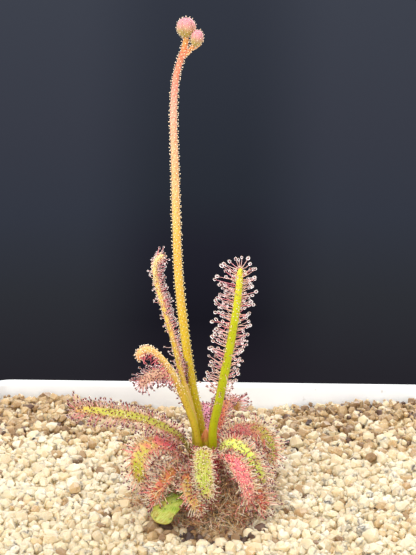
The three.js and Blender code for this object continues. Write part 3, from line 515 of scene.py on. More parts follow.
# %% The table of leaves
LEAF = dict(
    tentacle="red", slot="leaf_red", upper=(0, 0, 1), fleshy=None, wrinkle=0.03, crumple=0, bare=0.3, thin=1,
    splay=1.3, turn=0, scatter=0.13, lean=1, tangle=0.1, lopsided=0, fan=9, tip=0.9, fine=False, stray=0)
LEAVES = {
    "leaf_tall_right": dict(
        skin="fresh_green", tentacle="rosy", slot="leaf_green", upper=(-0.5, 1, 0.1),
        width=(2.1, 2.3, 2.1, 1.6), fleshy=(1.8, 1.2, 0.9, 0.9), gap=0.74, thin=1.4, reach=4.0, splay=1.35,
        turn=0.3, scatter=0.16, lean=0.3, tangle=0.06, fan=7, tip=0.95, fine=True, stray=55, drop=0.9,
        fuzz=80,
        spine=[(1.8, -2, 12), (1.8, -2.8, 19.9), (2.8, -3.6, 24.9), (4.2, -4.9, 32.6), (5.7, -6.7, 41.2),
               (6.9, -8.6, 49.1), (7.7, -10, 55.9), (8.1, -11, 62)]),
    "leaf_tall_left": dict(
        skin="golden", tentacle="rosy", slot="leaf_gold", upper=(0.75, 0.65, 0.15),
        width=(2.1, 1.8, 1.6, 1.3), fleshy=(1.8, 1.4, 1, 0.9), bare=0.34, gap=0.56, thin=0.8, reach=2.0,
        splay=1.25, scatter=0.14, tangle=0.05, fan=4, tip=0.6, fine=True, stray=130, drop=0.62, fuzz=360,
        spine=[(-2.5, 0.4, 11.8), (-2.7, 0.2, 19.3), (-3.8, 0.9, 24.2), (-5.9, 2.8, 31.2), (-8.1, 6, 38.7),
               (-10.5, 8.5, 45.9), (-12.4, 10, 52.4), (-12.9, 10, 56.2), (-12.1, 9.2, 58.9),
               (-10.6, 8.2, 60.2)]),
    "leaf_crozier": dict(
        skin="olive_to_gold", tentacle="crimson", slot="leaf_gold", upper=(-1, 0, -0.3),
        width=(2.4, 2.2, 1.9, 1.6), fleshy=(2, 1.8, 1.5, 1.4), bare=0.56, gap=0.62, reach=2.4, splay=0.8,
        scatter=0.1, fan=5, tip=0.5, fine=True, drop=0.24, fuzz=360,
        spine=[(-1.4, -2.3, 12), (-2.8, -3.6, 20.9), (-4.4, -4.5, 26.2), (-6.3, -5.8, 31.5), (-8.4, -7, 36.4),
               (-10.7, -8.5, 40.2), (-12.8, -9.6, 42), (-14.4, -10.2, 41.9), (-15.1, -10, 40.7),
               (-14.5, -9.6, 39.7)]),
    "leaf_reaching_left": dict(
        skin="yellow_green", tentacle="rosy", slot="leaf_green", upper=(0, -0.45, 1),
        width=(1.9, 2, 2.4, 1.8), fleshy=(1.6, 1, 0.9, 0.9), bare=0.2, gap=0.62, reach=3.6, splay=1.35,
        scatter=0.2, lean=1.6, lopsided=0.38, tip=1.0, fine=True, drop=0.66, fuzz=120,
        spine=[(-2.4, -1, 9), (-4.9, -3, 15.8), (-7.3, -5, 19.4), (-11.9, -6.8, 22.8), (-17.2, -8.2, 25),
               (-23.6, -9.5, 26.5), (-30.4, -10.6, 27.6)]),
    "leaf_front": dict(
        skin="lime", tentacle="pale", slot="leaf_green", upper=(0, -0.2, 1), width=(1.9, 3.4, 4.2, 3.4),
        bare=0.14, gap=0.52, reach=2.0, splay=1.25, stray=30, drop=0.5, fuzz=620,
        spine=[(0.5, -2.5, 9.6), (0.1, -5.9, 15), (-0.2, -9.8, 16.6), (-0.2, -13.2, 15.4), (0.2, -15.6, 12),
               (0.5, -15.9, 7.2)]),
    "leaf_low_left": dict(
        skin="crimson_to_olive", upper=(1, 0, 0.1), width=(1.8, 3, 4, 3.2), bare=0.2, gap=0.6, reach=3.1,
        scatter=0.4, stray=150, drop=0.56, fuzz=80,
        spine=[(-2.45, -0.6, 5.6), (-6, -3.8, 13.3), (-9, -6.4, 17.3), (-12.7, -9.2, 18.3),
               (-15.1, -11.3, 16.6), (-15.5, -12.1, 13), (-14.2, -11.4, 9.2)]),
    "leaf_front_right": dict(
        skin="coral", width=(1.8, 3.8, 5, 3.6), bare=0.25, gap=0.58, reach=2.6, splay=1.35, scatter=0.25,
        stray=60, drop=0.5, fuzz=420,
        spine=[(1.7, -2, 6.8), (3, -4.6, 12.8), (5.2, -7.6, 14.7), (7.6, -10.8, 14.1), (9.4, -13.2, 11.8),
               (10.6, -14.1, 8.6), (11.2, -13.6, 5.2)]),
    "leaf_low_right": dict(
        skin="sunlit_lime", slot="leaf_green", upper=(-0.95, -0.25, 0.1), width=(1.8, 2.8, 3.2, 2.6),
        bare=0.2, gap=0.6, reach=2.7, scatter=0.3, stray=40, drop=0.54, fuzz=160,
        spine=[(2.6, -0.2, 9), (4.2, -1.7, 14.6), (6.9, -3.5, 16.1), (9.5, -5.2, 15), (11.6, -6.5, 12.6),
               (13.1, -7.2, 9.8), (13.8, -7, 7.1)]),
    "leaf_far_right": dict(
        skin="mauve_to_olive", upper=(0, -1, 0.3), width=(1.8, 3, 3.8, 3), bare=0.25, gap=0.6, reach=2.8,
        scatter=0.4, stray=150, drop=0.56, fuzz=100,
        spine=[(2.6, 0.6, 6.4), (4.9, 3.1, 13.6), (7.6, 4.6, 15.8), (10.9, 5.8, 15.7), (14, 6.8, 14.3),
               (15.9, 7.2, 11.6), (16.4, 6.8, 8.8), (15.8, 6, 6.1)]),
    "leaf_back_left": dict(
        skin="blush", tentacle="rosy", upper=(-0.5, 0.3, 1), width=(1.8, 2.1, 2.6, 2.2), gap=0.5, reach=2.4,
        fine=True, stray=20, drop=0.6, fuzz=160,
        spine=[(-1.5, 2.2, 7), (-1.8, 6.5, 13.6), (-4.2, 10, 21.3), (-7.2, 13.5, 24.9), (-11.2, 17, 26.3),
               (-15.3, 19, 24.7), (-18.4, 20, 21.8)]),
    "leaf_back_right": dict(
        skin="orange", tentacle="rosy", width=(1.8, 2.2, 2.6, 2), bare=0.2, gap=0.66, reach=3, drop=0.6,
        fuzz=80,
        spine=[(1.5, 2.2, 10.2), (2.9, 7, 15.8), (4.2, 12, 19), (5.6, 17, 19.6), (6.8, 21, 17.6),
               (7.6, 24, 13.4)]),
    "leaf_back": dict(
        skin="magenta", tentacle="rosy", width=(1.8, 2.4, 3, 2.4), bare=0.2, gap=0.66, reach=3, drop=0.6,
        fuzz=80,
        spine=[(0.3, 2.5, 7.6), (0.1, 7.5, 14.6), (-0.4, 14, 16.4), (-0.3, 20, 16.2), (-0.2, 25, 14),
               (-0.5, 29, 9.8)]),
    "leaf_under_left": dict(
        skin="shaded", width=(1.7, 2.8, 3.6, 2.8), gap=0.58, reach=3.1, scatter=0.45, stray=150, drop=0.54,
        fuzz=60,
        spine=[(-1.8, -1.8, 4), (-5, -7, 10.7), (-7.2, -11, 12.4), (-9.3, -13.6, 11), (-11.2, -14.8, 8.4),
               (-12.2, -14.4, 5.8)]),
    "leaf_front_left": dict(
        skin="orange", width=(1.6, 2, 2.6, 2), gap=0.54, reach=2.6, scatter=0.5, stray=140, drop=0.52,
        fuzz=70,
        spine=[(-0.8, -2.4, 5.4), (-2.6, -8, 11.5), (-3.9, -12, 12.1), (-4, -15, 10.8), (-2.6, -17, 8.2),
               (-0.3, -18, 5.5)]),
    "leaf_under_right": dict(
        skin="shaded", width=(1.6, 2.8, 3.6, 2.8), gap=0.58, reach=2.9, scatter=0.4, stray=120, drop=0.54,
        fuzz=60,
        spine=[(2.2, -1.4, 3.8), (5.6, -4.9, 8.6), (9, -7.9, 9.6), (12, -10.4, 8.4), (13.6, -12, 5.6),
               (14.2, -12.6, 2.9)]),
    "leaf_broad": dict(
        skin="bright_green", tentacle=None, slot="leaf_green", width=(1, 2.6, 6.2, 5.4), crumple=0.09, fuzz=0,
        spine=[(-1.5, -2.05, 2), (-4.9, -10, 6.9), (-6.7, -14.5, 7.1), (-8.8, -18, 5.6), (-10.8, -20, 3.8)]),
}


# %% Leaves that arch alike round the crown
def seeded(seed):
    """Repeatable random numbers from 0 to 1, from a counter whose bits are multiplied and shifted."""
    state, word = seed, 0xFFFFFFFF
    while True:
        state = (state + 0x6D2B79F5) & word
        mixed = ((state ^ (state >> 15)) * (1 | state)) & word
        mixed ^= (mixed + (((mixed ^ (mixed >> 7)) * (61 | mixed)) & word)) & word
        yield ((mixed ^ (mixed >> 14)) & word) / 2**32


def arched(kind, bearings, foot_height, arch, **shared):
    """One leaf for each bearing, in degrees from +X: it follows the arch outwards and sways a little."""
    draws = seeded(len(bearings))
    made = {}
    for number, bearing in enumerate(bearings, 1):
        sway = 0.2 * (next(draws) - 0.5)
        reach, rise = np.array(arch).T
        turned = math.radians(bearing) + sway * np.arange(len(arch)) / len(arch)
        spine = np.stack([np.cos(turned) * reach, np.sin(turned) * reach, foot_height + rise], axis=1)
        made[f"{kind}_{number}"] = dict(spine=spine, **shared)
    return made


LEAVES |= arched(
    "leaf_far", [34, 70, 108, 156], 4, [(2.4, 0), (5.5, 4), (9, 6), (12.5, 5.6), (15.2, 3.2), (16.6, 0.2)],
    skin="blush", width=(1.3, 2.4, 3.2, 2.6), gap=0.8, reach=2.6, drop=0.6, fuzz=60)
LEAVES |= arched(
    "leaf_dead", [-158, -95, -57, -19, 17, 54, 96, 140], 1.5,
    [(2.3, 0), (6, 3.2), (9.5, 4), (13, 2.8), (15.6, 0.8), (16.8, -0.5)],
    skin="dead", tentacle="dry", slot="leaf_dead", width=(1.2, 3, 4.2, 3.2), wrinkle=0.12, crumple=0.12,
    bare=0.2, gap=0.9, reach=3.0, splay=1.4, tangle=0.55, drop=0, fuzz=0)
LEAVES = {name: LEAF | own for name, own in LEAVES.items()}
print("leaves", len(LEAVES))

# %% [markdown]
# ## Blades
#
# A blade is a flat oval carried along the leaf's line: a little domed above and fuller below. Where a leaf
# has a fleshy stalk, the oval is as thick as it is wide at the foot. Leaves are never quite even, so the
# width and the height swell and shrink slightly along the way.

# %% Blades
BLADE_RINGS = 60
END_RINGS = 6
BLADE_SIDES = 16
BLADE_THICKNESS = 0.95
BELOW, ABOVE, FLESHY_ABOVE = 0.54, 0.34, 0.42  # shares of the thickness under and over the leaf's line
SWELLINGS = 22  # places along a blade where its size is drawn
NARROWING = 0.93  # from this share of its length on, a blade narrows to its tip
END = 0.9  # length of the round end, mm


def half_width(leaf, share):
    """Half the width: the table's widths in even steps, narrowed at the tip by a quarter of an ellipse."""
    past = np.clip((share - NARROWING) / (1 - NARROWING), 0, 1)
    return at(leaf["width"], share) / 2 * (0.35 + 0.65 * np.sqrt(1 - past**2))


def fine_line(leaf):
    """A leaf's line in 401 steps, its directions there, and its length."""
    line = line_through(leaf["spine"], 401)
    return line, directions(line, leaf["upper"]), np.linalg.norm(np.diff(line, axis=0), axis=1).sum()


def blade(leaf, rng):
    """The leaf's line with an oval round it: x = half width * cos, y = thickness * sin, flatter on top."""
    line, (_, side, up), length = fine_line(leaf)
    start = 1 - END / length
    turn = np.linspace(0, np.pi / 2, END_RINGS + 1)[1:]
    share = np.concatenate([np.linspace(0, start, BLADE_RINGS), start + (1 - start) * np.sin(turn)])
    closing = np.concatenate([np.ones(BLADE_RINGS), np.cos(turn) + 0.04])
    angle = np.arange(BLADE_SIDES) * 2 * np.pi / BLADE_SIDES
    swell = (1 + leaf["wrinkle"] * at(rng.normal(size=SWELLINGS), share)) * closing
    dent = np.sin(23 * share[:, None] + 2 * angle) + np.sin(41 * share[:, None] - 3 * angle + 1)
    swell = swell[:, None] * (1 + leaf["crumple"] * dent)
    thick = BLADE_THICKNESS * (1 + 0.2 * np.exp(-share / 0.15))
    above = ABOVE
    if leaf["fleshy"]:
        thick, above = at(leaf["fleshy"], share), FLESHY_ABOVE
    x = half_width(leaf, share)[:, None] * swell * np.cos(angle)
    y = thick[:, None] * swell * np.where(np.sin(angle) > 0, above, BELOW) * np.sin(angle)
    across = np.broadcast_to(np.abs(np.cos(angle)), (1, *x.shape))
    return wrap((PLANT + at(line, share))[None], unit(at(side, share))[None], unit(at(up, share))[None],
                np.stack([x, y], axis=-1), along=share, across=across)


# %% [markdown]
# ## Where the tentacles stand
#
# Tentacles stand in ranks along the blade. Those at the edges are long, close together and turn outwards,
# those in the middle are short, wide apart and upright, and the last ones fan out round the tip. The rule
# gives whole arrays of roots, directions and lengths, and a seeded draw moves each one a little.

# %% Ranks of tentacles
RANKS = [  # place across the blade, share of the full length, gap as a multiple of the leaf's own
    (1.0, 1.0, 1.0),
    (0.84, 0.72, 1.35),
    (0.5, 0.36, 1.9),
    (0.14, 0.27, 2.3),
]
LAST_PLACE = 0.985  # share of the leaf's length at which the ranks end
SHORTEST = 0.55  # length that every tentacle of a rank has at least, mm


def up_and_out(up, side, opened):
    """Directions turned from straight up towards the side by an angle."""
    return up * np.cos(opened)[:, None] + side * np.sin(opened)[:, None]


def place_tentacles(leaf, rng):
    """Roots, directions, bends, lengths and relative sizes of all tentacles of a leaf, as arrays."""
    line, (ahead, side, up), length = fine_line(leaf)
    bare = leaf["bare"]
    share, place, long = [], [], []
    for sign in (-1, 1):
        for rank, (out, most, spread) in enumerate(RANKS):
            thin = 1 if rank else leaf["thin"]
            count = int(length * (1 - bare) / (leaf["gap"] * spread * thin))
            step = (np.arange(count) + 0.25 * rank + 0.3 * (sign > 0)) / count
            share.append(bare + (LAST_PLACE - bare) * step)
            place.append(np.full(count, sign * out))
            long.append(np.full(count, most))
    share, place, long = np.concatenate(share), np.concatenate(place), np.concatenate(long)
    share = np.clip(share + rng.normal(0, 0.25 * leaf["gap"] / length, share.size), bare, 0.99)
    place = np.clip(place + rng.normal(0, 0.07, place.size), -1, 1)
    grown = (share - bare) / (1 - bare)
    reach = leaf["reach"] * long * (0.72 + 0.28 * grown) * np.clip(grown / 0.1, 0.3, 1)
    reach = np.maximum(reach * rng.uniform(0.8, 1.15, share.size), SHORTEST)
    reach = reach * (1 - leaf["lopsided"] * (place < 0))
    opened = place * leaf["splay"] + leaf["turn"] + rng.normal(0, leaf["scatter"], place.size)
    lean = (0.1 + 0.25 * grown + 0.5 * np.clip((share - 0.88) / 0.1, 0, 1)) * leaf["lean"]
    lean = lean + rng.normal(0, 0.16, place.size)
    way = up_and_out(at(up, share), at(side, share), opened) + at(ahead, share) * lean[:, None]
    edge = np.abs(place)
    root = at(line, share) + at(side, share) * (place * half_width(leaf, share) * 0.92)[:, None]
    root = root + at(up, share) * (0.22 * (1 - edge**2))[:, None]

    count = leaf["fan"]
    fan = np.linspace(-1.4, 1.4, count) + rng.normal(0, 0.05, count)
    fan_way = ahead[-1] * np.cos(fan)[:, None] + side[-1] * np.sin(fan)[:, None]
    fan_way = fan_way + up[-1] * rng.uniform(0.1, 0.5, (count, 1))
    fan_root = line[-1] - ahead[-1] * 0.45 + side[-1] * (0.3 * half_width(leaf, 1.0) * np.sin(fan))[:, None]
    fan_reach = leaf["reach"] * leaf["tip"] * rng.uniform(0.9, 1.08, count)
    fan_reach = fan_reach * (0.65 + 0.35 * abs(np.sin(fan)))

    root, way = np.vstack([root, fan_root]), unit(np.vstack([way, fan_way]))
    reach, edge = np.concatenate([reach, fan_reach]), np.concatenate([edge, np.ones(count)])
    way = unit(way + rng.normal(0, leaf["tangle"], way.shape))
    middle_up = np.vstack([at(up, share), np.broadcast_to(up[-1], (count, 3))])
    bend = middle_up * (0.2 * edge)[:, None] + rng.normal(0, leaf["tangle"], root.shape)
    size = np.concatenate([0.55 + 0.45 * long, np.ones(count)])
    return PLANT + root, way, bend, reach, size


def round_the_blade(leaf, share, rng):
    """Places all round the blade's oval, and ways out of it that are square to it, give or take a little."""
    line, (ahead, side, up), _ = fine_line(leaf)
    turn = rng.uniform(0, 2 * np.pi, share.size)
    thick = at(leaf["fleshy"] or (BLADE_THICKNESS,) * 4, share)
    x, y = half_width(leaf, share) * np.cos(turn), 0.44 * thick * np.sin(turn)
    root = at(line, share) + at(side, share) * x[:, None] * 0.94 + at(up, share) * y[:, None] * 0.94
    way = up_and_out(at(up, share), at(side, share), np.pi / 2 - turn) + rng.normal(0, 0.3, root.shape)
    return PLANT + root, unit(way + at(ahead, share) * 0.2)


def stray_tentacles(leaf, rng):
    """Shorter tentacles that stand anywhere round the blade: roots, directions, bends, lengths and sizes."""
    count = leaf["stray"]
    root, way = round_the_blade(leaf, rng.uniform(leaf["bare"], 0.98, count), rng)
    bend = rng.normal(0, 0.35, root.shape)
    return root, way, bend, leaf["reach"] * rng.uniform(0.35, 0.9, count), np.full(count, 0.8)


# %% Tentacles, drops and hairs
FEET = (0.17, 0.12)  # radius of a tentacle's root, coarse and fine
SUNK = 0.12  # how deep the root stands in the blade
GLAND_LENGTH = 2.6  # in half widths of the gland
DROP_LENGTH = 1.12  # a drop is a ball stretched by this along its tentacle
HAIR_RADII = (0.055, 0.045)  # at the root and half way up
DROP_SHAPES = [  # coarse and fine: the radii and heights of a drop's rings, and its sides
    (np.array([0.72, 1.0, 0.72]), np.array([-0.74, 0.0, 0.74]), 5),
    (np.array([0.42, 0.92, 0.92, 0.42]), np.array([-0.92, -0.4, 0.4, 0.92]), 6),
]
BEAD, STEM_BEAD, BUD_BEAD = 0.15, 0.18, 0.13  # radii of the beads on the hairs of leaves, stalks and buds


def tentacles(root, way, bend, reach, gland, thick, sides, rng):
    """Stalks and glands: a point at distance d from the root is root + way * d + bend * d * d / reach.

    The gland is an egg of the given half width.
    """
    gland = gland[:, None]
    head = GLAND_LENGTH * gland
    stalk = np.maximum(reach[:, None] - head, 0.1)
    distance = stalk * np.array([0.0, 0.5, 1.0, 1.0, 1.0, 1.0]) + head * np.array([0, 0, 0, 0.26, 0.7, 1.0])
    distance[:, 0] -= SUNK
    radius = thick * np.array([1.0, 0.67, 0.54, 0, 0, 0]) + gland * np.array([0, 0, 0, 0.92, 1.0, 0.42])
    centre = root[:, None] + way[:, None] * distance[..., None]
    centre = centre + bend[:, None] * (distance**2 / reach[:, None])[..., None]
    return wrap(centre, *crosswise(way, unit(way + bend)), radius[..., None, None] * circle(sides),
                along=[0.0, 0.4, 0.78, 0.88, 1.0, 1.0], tone=rng.random((len(root), 1)))


def drops(root, way, bend, reach, gland, width, fine, rng):
    """Clear drops round the glands: an egg with its long axis along the tentacle's end."""
    ahead = unit(way + bend)
    middle = root + way * (reach - 1.1 * gland)[:, None] + bend * reach[:, None]
    around, height, sides = DROP_SHAPES[fine]
    size = 0.5 * width * rng.uniform(0.75, 1.1, len(root))
    centre = middle[:, None] + ahead[:, None] * (DROP_LENGTH * size[:, None] * height)[..., None]
    return wrap(centre, *crosswise(way, ahead), (size[:, None] * around)[..., None, None] * circle(sides))


def hairs(root, way, reach, bead, along):
    """Thin clear hairs that swell to a bead of the given radius: four places each, with square sections."""
    distance = reach[:, None] * np.array([0.0, 0.5, 0.78, 1.0])
    centre = root[:, None] + way[:, None] * distance[..., None]
    radii = np.array([*HAIR_RADII, bead, bead / 2])
    # tone marks the bead, which the hair tissue paints pale as a painted highlight
    return wrap(centre, *crosswise(way, way), radii[:, None, None] * circle(4), along=along,
                tone=[0.0, 0.3, 1.0, 1.0])


def fuzz(leaf, rng, length=0.6):
    """Short hairs with a bead at the end, all round a blade. Those on a fleshy stalk are short and olive,
    with less painted highlight on their beads.
    """
    count = leaf["fuzz"]
    bald = 0.8 * leaf["bare"] if leaf["fleshy"] else 0.0
    share = bald + (1 - bald) * rng.uniform(0, 1, count) ** 0.75
    root, way = round_the_blade(leaf, share, rng)
    pale = share if leaf["fleshy"] else 0.5 + 0.5 * share
    reach = length * rng.uniform(0.5, 1.2, count) * np.clip(0.4 + pale, 0, 1)
    return hairs(root, way, reach, STEM_BEAD if leaf["fleshy"] else BEAD, pale[:, None])


# %% Clear hair tissue
hair_tissue, tree = new_finish("clear_hairs")
along, bead = [node(tree, "Attribute", out="Fac", attribute_name=key) for key in ("along", "tone")]
low = node(tree, "ValToRGB", {"Fac": along}, {
    0: 0xB8AC40, 0.3: 0xD0B850, 0.45: 0xF8DC98, 0.7: 0xFCD4A4, 1: 0xFAC8A8})
# Painted highlight: each hair's bead is painted pale, less so low on a stalk
painted_glint = node(tree, "MapRange", {"Value": along, "From Max": 0.5, "To Min": 0.1, "To Max": 0.75})
painted_glint = node(tree, "Math", {0: bead, 1: painted_glint}, operation="MULTIPLY")
hue = node(tree, "Mix", {0: painted_glint, 6: low, 7: linear(0xFFF0CC)}, data_type="RGBA")
tissue = node(tree, "BsdfPrincipled", {
    "Base Color": hue, "Roughness": 0.2, "IOR": 1.4, "Subsurface Weight": 0.4, "Subsurface Scale": 0.0005,
    "Subsurface Radius": (0.7, 0.85, 1.0)})
node(tree, "OutputMaterial", {"Surface": tissue})

# %% Grow every leaf
GLAND, GLAND_PER_DROP = 0.075, 0.1  # half width of a gland, and how much it grows with its drop
DRY_GLAND = 0.1
STRAY_GLANDS = (0.14, 0.11)  # coarse and fine
WET = (0.9, 1.0)  # share of the coarse and the fine tentacles that hold a drop
all_drops = []
for number, (name, leaf) in enumerate(LEAVES.items()):
    rng = np.random.default_rng(100 + number)
    parts = [(blade(leaf, rng), SKINS[leaf["skin"]])]
    if leaf["tentacle"]:
        fine, drop, tissue = int(leaf["fine"]), leaf["drop"], TENTACLES[leaf["tentacle"]]
        *stand, size = place_tentacles(leaf, rng)
        gland = GLAND + GLAND_PER_DROP * drop * size if drop else DRY_GLAND * size
        parts.append((tentacles(*stand, gland, FEET[fine], 3 + fine, rng), tissue))
        if drop:
            wet = rng.random(len(size)) < WET[fine]
            stand = [values[wet] for values in (*stand, gland)]
            all_drops.append((drops(*stand, (drop * size)[wet], fine, rng), mucilage))
        if leaf["stray"]:
            *stand, size = stray_tentacles(leaf, rng)
            gland = STRAY_GLANDS[fine] * size
            parts.append((tentacles(*stand, gland, FEET[fine], 3, rng), tissue))
            if fine:
                all_drops.append((drops(*stand, gland, drop * size, fine, rng), mucilage))
    if leaf["fuzz"]:
        parts.append((fuzz(leaf, rng), hair_tissue))
    make_piece(name + "_fine", parts, replaced=[name], slot=leaf["slot"])
make_piece("mucilage_drops", all_drops)

# %% [markdown]
# ## Withered threads
#
# Old leaves are not shed. Their tentacles dry to curled brown and pink threads that mat together over the
# skirt of dead blades. Each thread starts on a low dome round the crown and wanders from there: at every
# step its direction is turned a little at random.

# %% Withered threads
THREAD_RADII = np.array([0.12, 0.11, 0.1, 0.09, 0.08, 0.05])  # from the root to the loose end
DOME_HEIGHT, DOME_REACH = 7.6, 17.8  # over the grit and from the crown
NARROW_BEARING, NARROW = math.radians(55), 0.88  # the mat is narrower at the right
MATS = [  # threads, the bearings between which they start, the height they rise by, how pale at least
    (1000, (-125, 5), 0.0, 0.1),
    (240, (5, 235), 0.0, 0.0),
    (260, (-168, -120), 12.0, 0.3),
    (420, (-85, -40), 4.0, 0.15),
    (480, (-50, 30), 8.0, 0.55),
]


def withered_threads(rng):
    """Threads with three sides. The dome's height over the grit is h * (1 - (r / R) ** 2.4) at distance r."""
    counts = [mat[0] for mat in MATS]
    first, last, rise, pale = np.repeat([(*mat[1], *mat[2:]) for mat in MATS], counts, axis=0).T
    total = sum(counts)
    bearing = np.radians(rng.uniform(first, last))
    away = DOME_REACH * np.sqrt(rng.uniform(0.1, 0.98, total))
    away = away * np.where(np.abs(bearing) < NARROW_BEARING, NARROW, 1.0)
    outwards = np.stack([np.cos(bearing), np.sin(bearing), 0 * bearing], axis=1)
    root = outwards * away[:, None]
    root[:, 2] = DOME_HEIGHT * (1 - (away / DOME_REACH) ** 2.4) - 0.6 + rise * rng.random(total)
    way = unit(outwards * 0.5 + [0, 0, 0.1] + rng.normal(0, 0.8, root.shape))
    step = rng.uniform(0.45, 1.0, (total, 1))
    places = [root]
    for _ in THREAD_RADII[1:]:
        way = unit(way + rng.normal(0, 0.45, root.shape) - [0, 0, 0.08])
        places.append(places[-1] + way * step)
    radius = THREAD_RADII * rng.uniform(0.7, 1.3, (total, 1))
    tone = pale + (1 - pale) * rng.random(total)
    return wrap(PLANT + np.stack(places, axis=1), *crosswise(way, way), radius[..., None, None] * circle(3),
                tone=tone[:, None])


thread_skin, tree = new_finish("withered_threads")
tone = node(tree, "Attribute", out="Fac", attribute_name="tone")
place = node(tree, "TexCoord", out="Object")
stain = node(tree, "TexNoise", {"Vector": place, "Scale": 900.0, "Detail": 2.0})
hue = node(tree, "ValToRGB", {"Fac": nudged(tree, tone, stain, 0.4)}, {
    0: 0x6A3C24, 0.2: 0xB88450, 0.4: 0xF8D090, 0.64: 0xFEECC0, 0.8: 0xFCB8A0, 0.9: 0xD86460, 1: 0xF0CC80})
dry = node(tree, "BsdfPrincipled", {
    "Base Color": hue, "Roughness": 0.6, "IOR": 1.4, "Specular IOR Level": 0.3, "Subsurface Weight": 0.8,
    "Subsurface Scale": 0.0005, "Subsurface Radius": (0.7, 0.85, 1.0)})
node(tree, "OutputMaterial", {"Surface": dry})
make_piece("withered_threads", [(withered_threads(np.random.default_rng(77)), thread_skin)], slot="leaf_dead")

# %% [markdown]
# ## The flower stalk
#
# The stalk is a thin, slightly bent tube that turns from olive at the foot through gold to coral at the
# top. Its whole length is covered by short clear hairs, each with a tiny drop at the end that is painted
# pale as a painted highlight, and these give it a sparkling outline. They stand on a golden-angle spiral,
# the even spacing that plants use themselves. Two thin bracts stand where the side branch leaves it.

# %% Flower stalk, side branch and hairs
STALK_SPINE = [
    (-0.8, 2.4, 11.5), (-1.5, 3.1, 18), (-2.8, 3.5, 24.5), (-4.15, 4.1, 32.3), (-5.6, 3.8, 43.8),
    (-6.7, 3.6, 56.4), (-7.1, 3.4, 69.9), (-7.3, 3.2, 82.9), (-7.5, 3, 94.4), (-7.1, 2.8, 101),
    (-6.5, 2.6, 104.5), (-5.5, 2.4, 107.5), (-4.7, 2.1, 110.1), (-4.4, 2, 112.2),
]
STALK_RADII = (1.1, 1.05, 1.0, 0.95, 0.85, 0.75, 0.6)
BRANCH_SPINE = [(-5.7, 2.45, 106.8), (-4.3, 1.8, 108.4), (-2.55, 0.8, 110.1)]
BRANCH_RADII = (0.5, 0.4, 0.35)
BRACTS = [[(-4.6, 1.7, 108.3), (-3.5, 1.4, 108.9), (-2.2, 1.1, 109.4), (-0.9, 0.8, 110.3)],
          [(-4.5, 1.6, 107.9), (-3.9, 1.2, 108.1), (-3.4, 0.9, 108.7)]]
BRACT_RADII = (0.16, 0.22, 0.16, 0.06)
STALK_SIDES = 16
STALK_HAIRS, BRANCH_HAIRS = 820, 30
GOLDEN_ANGLE = math.pi * (3 - math.sqrt(5))


def stem(spine, radii, rings, foot=0.0, top=1.0):
    """A round stem; its attribute "along" runs from foot to top."""
    line = line_through(spine, rings)
    _, side, up = directions(line, (1, 0, 0))
    share = np.linspace(0, 1, rings)
    ring = at(radii, share)[:, None, None] * circle(STALK_SIDES)
    return wrap((PLANT + line)[None], side[None], up[None], ring, along=foot + (top - foot) * share)


def stem_hairs(spine, radii, count, length, rng, foot=0.0, top=1.0, start=0.02):
    """Short hairs with a bead at the end, on a golden-angle spiral round a stem."""
    share = np.linspace(start, 0.995, count)
    line = line_through(spine, 401)
    near = (share * 400).round().astype(int)
    ahead, side, up = [ways[near] for ways in directions(line, (1, 0, 0))]
    bearing = np.arange(count) * GOLDEN_ANGLE + rng.normal(0, 0.06, count)
    out = up_and_out(side, up, bearing)
    root = PLANT + line[near] + out * (at(radii, share) - 0.1)[:, None]
    way = unit(out + ahead * rng.normal(0.1, 0.12, (count, 1)))
    reach = length * rng.uniform(0.7, 1.1, count)
    return hairs(root, way, reach, STEM_BEAD, foot + (top - foot) * share[:, None])


stalk_skin = leaf_skin("stalk_skin", {
    0: 0xA49C00, 0.14: 0xC4B004, 0.3: 0xE0C034, 0.55: 0xF4C660, 0.7: 0xFCC690, 0.82: 0xFCBCA0, 0.9: 0xFC9C88,
    0.96: 0xF4886C, 1: 0xE4A858}, edge_share=0.0, streak=0xD89848, dot=0xA0482C, dots=1900.0, dotted=0.9,
    sway=0.08)
rng = np.random.default_rng(7)
stalk_hairs = stem_hairs(STALK_SPINE, STALK_RADII, STALK_HAIRS, 0.55, rng)
branch_hairs = stem_hairs(BRANCH_SPINE, BRANCH_RADII, BRANCH_HAIRS, 0.5, rng, 0.9, 1.0, start=0.25)
stems = [stem(STALK_SPINE, STALK_RADII, 180), stem(BRANCH_SPINE, BRANCH_RADII, 16, 0.9, 1.0)]
stems += [stem(spine, BRACT_RADII, 10, 0.62, 0.75) for spine in BRACTS]
make_piece("flower_stalk_fine", [(made, stalk_skin) for made in stems] + [
    (stalk_hairs, hair_tissue), (branch_hairs, hair_tissue)], replaced=["flower_stalk"], slot="stalk")

# %% [markdown]
# ## Buds
#
# A closed bud is wrapped in five sepals that overlap like roof tiles. In section the bud is a circle with
# five shallow notches, and the notches run up to the tip in a gentle spiral. It is pink where light falls
# on it and olive at its foot, with a velvet of very short hairs.

# %% Buds
BUDS = {
    "bud_large": dict(centre=(-4.4, 1.8, 113.9), axis=(0.06, 0, 1), radius=2.1, height=4.4, turn=0.3),
    "bud_small": dict(centre=(-1.95, 0.45, 111.6), axis=(0.25, -0.1, 1), radius=1.4, height=3.6, turn=1.1),
}
BUD_RINGS, BUD_SIDES = 28, 60
HAIRS_PER_MM = 40

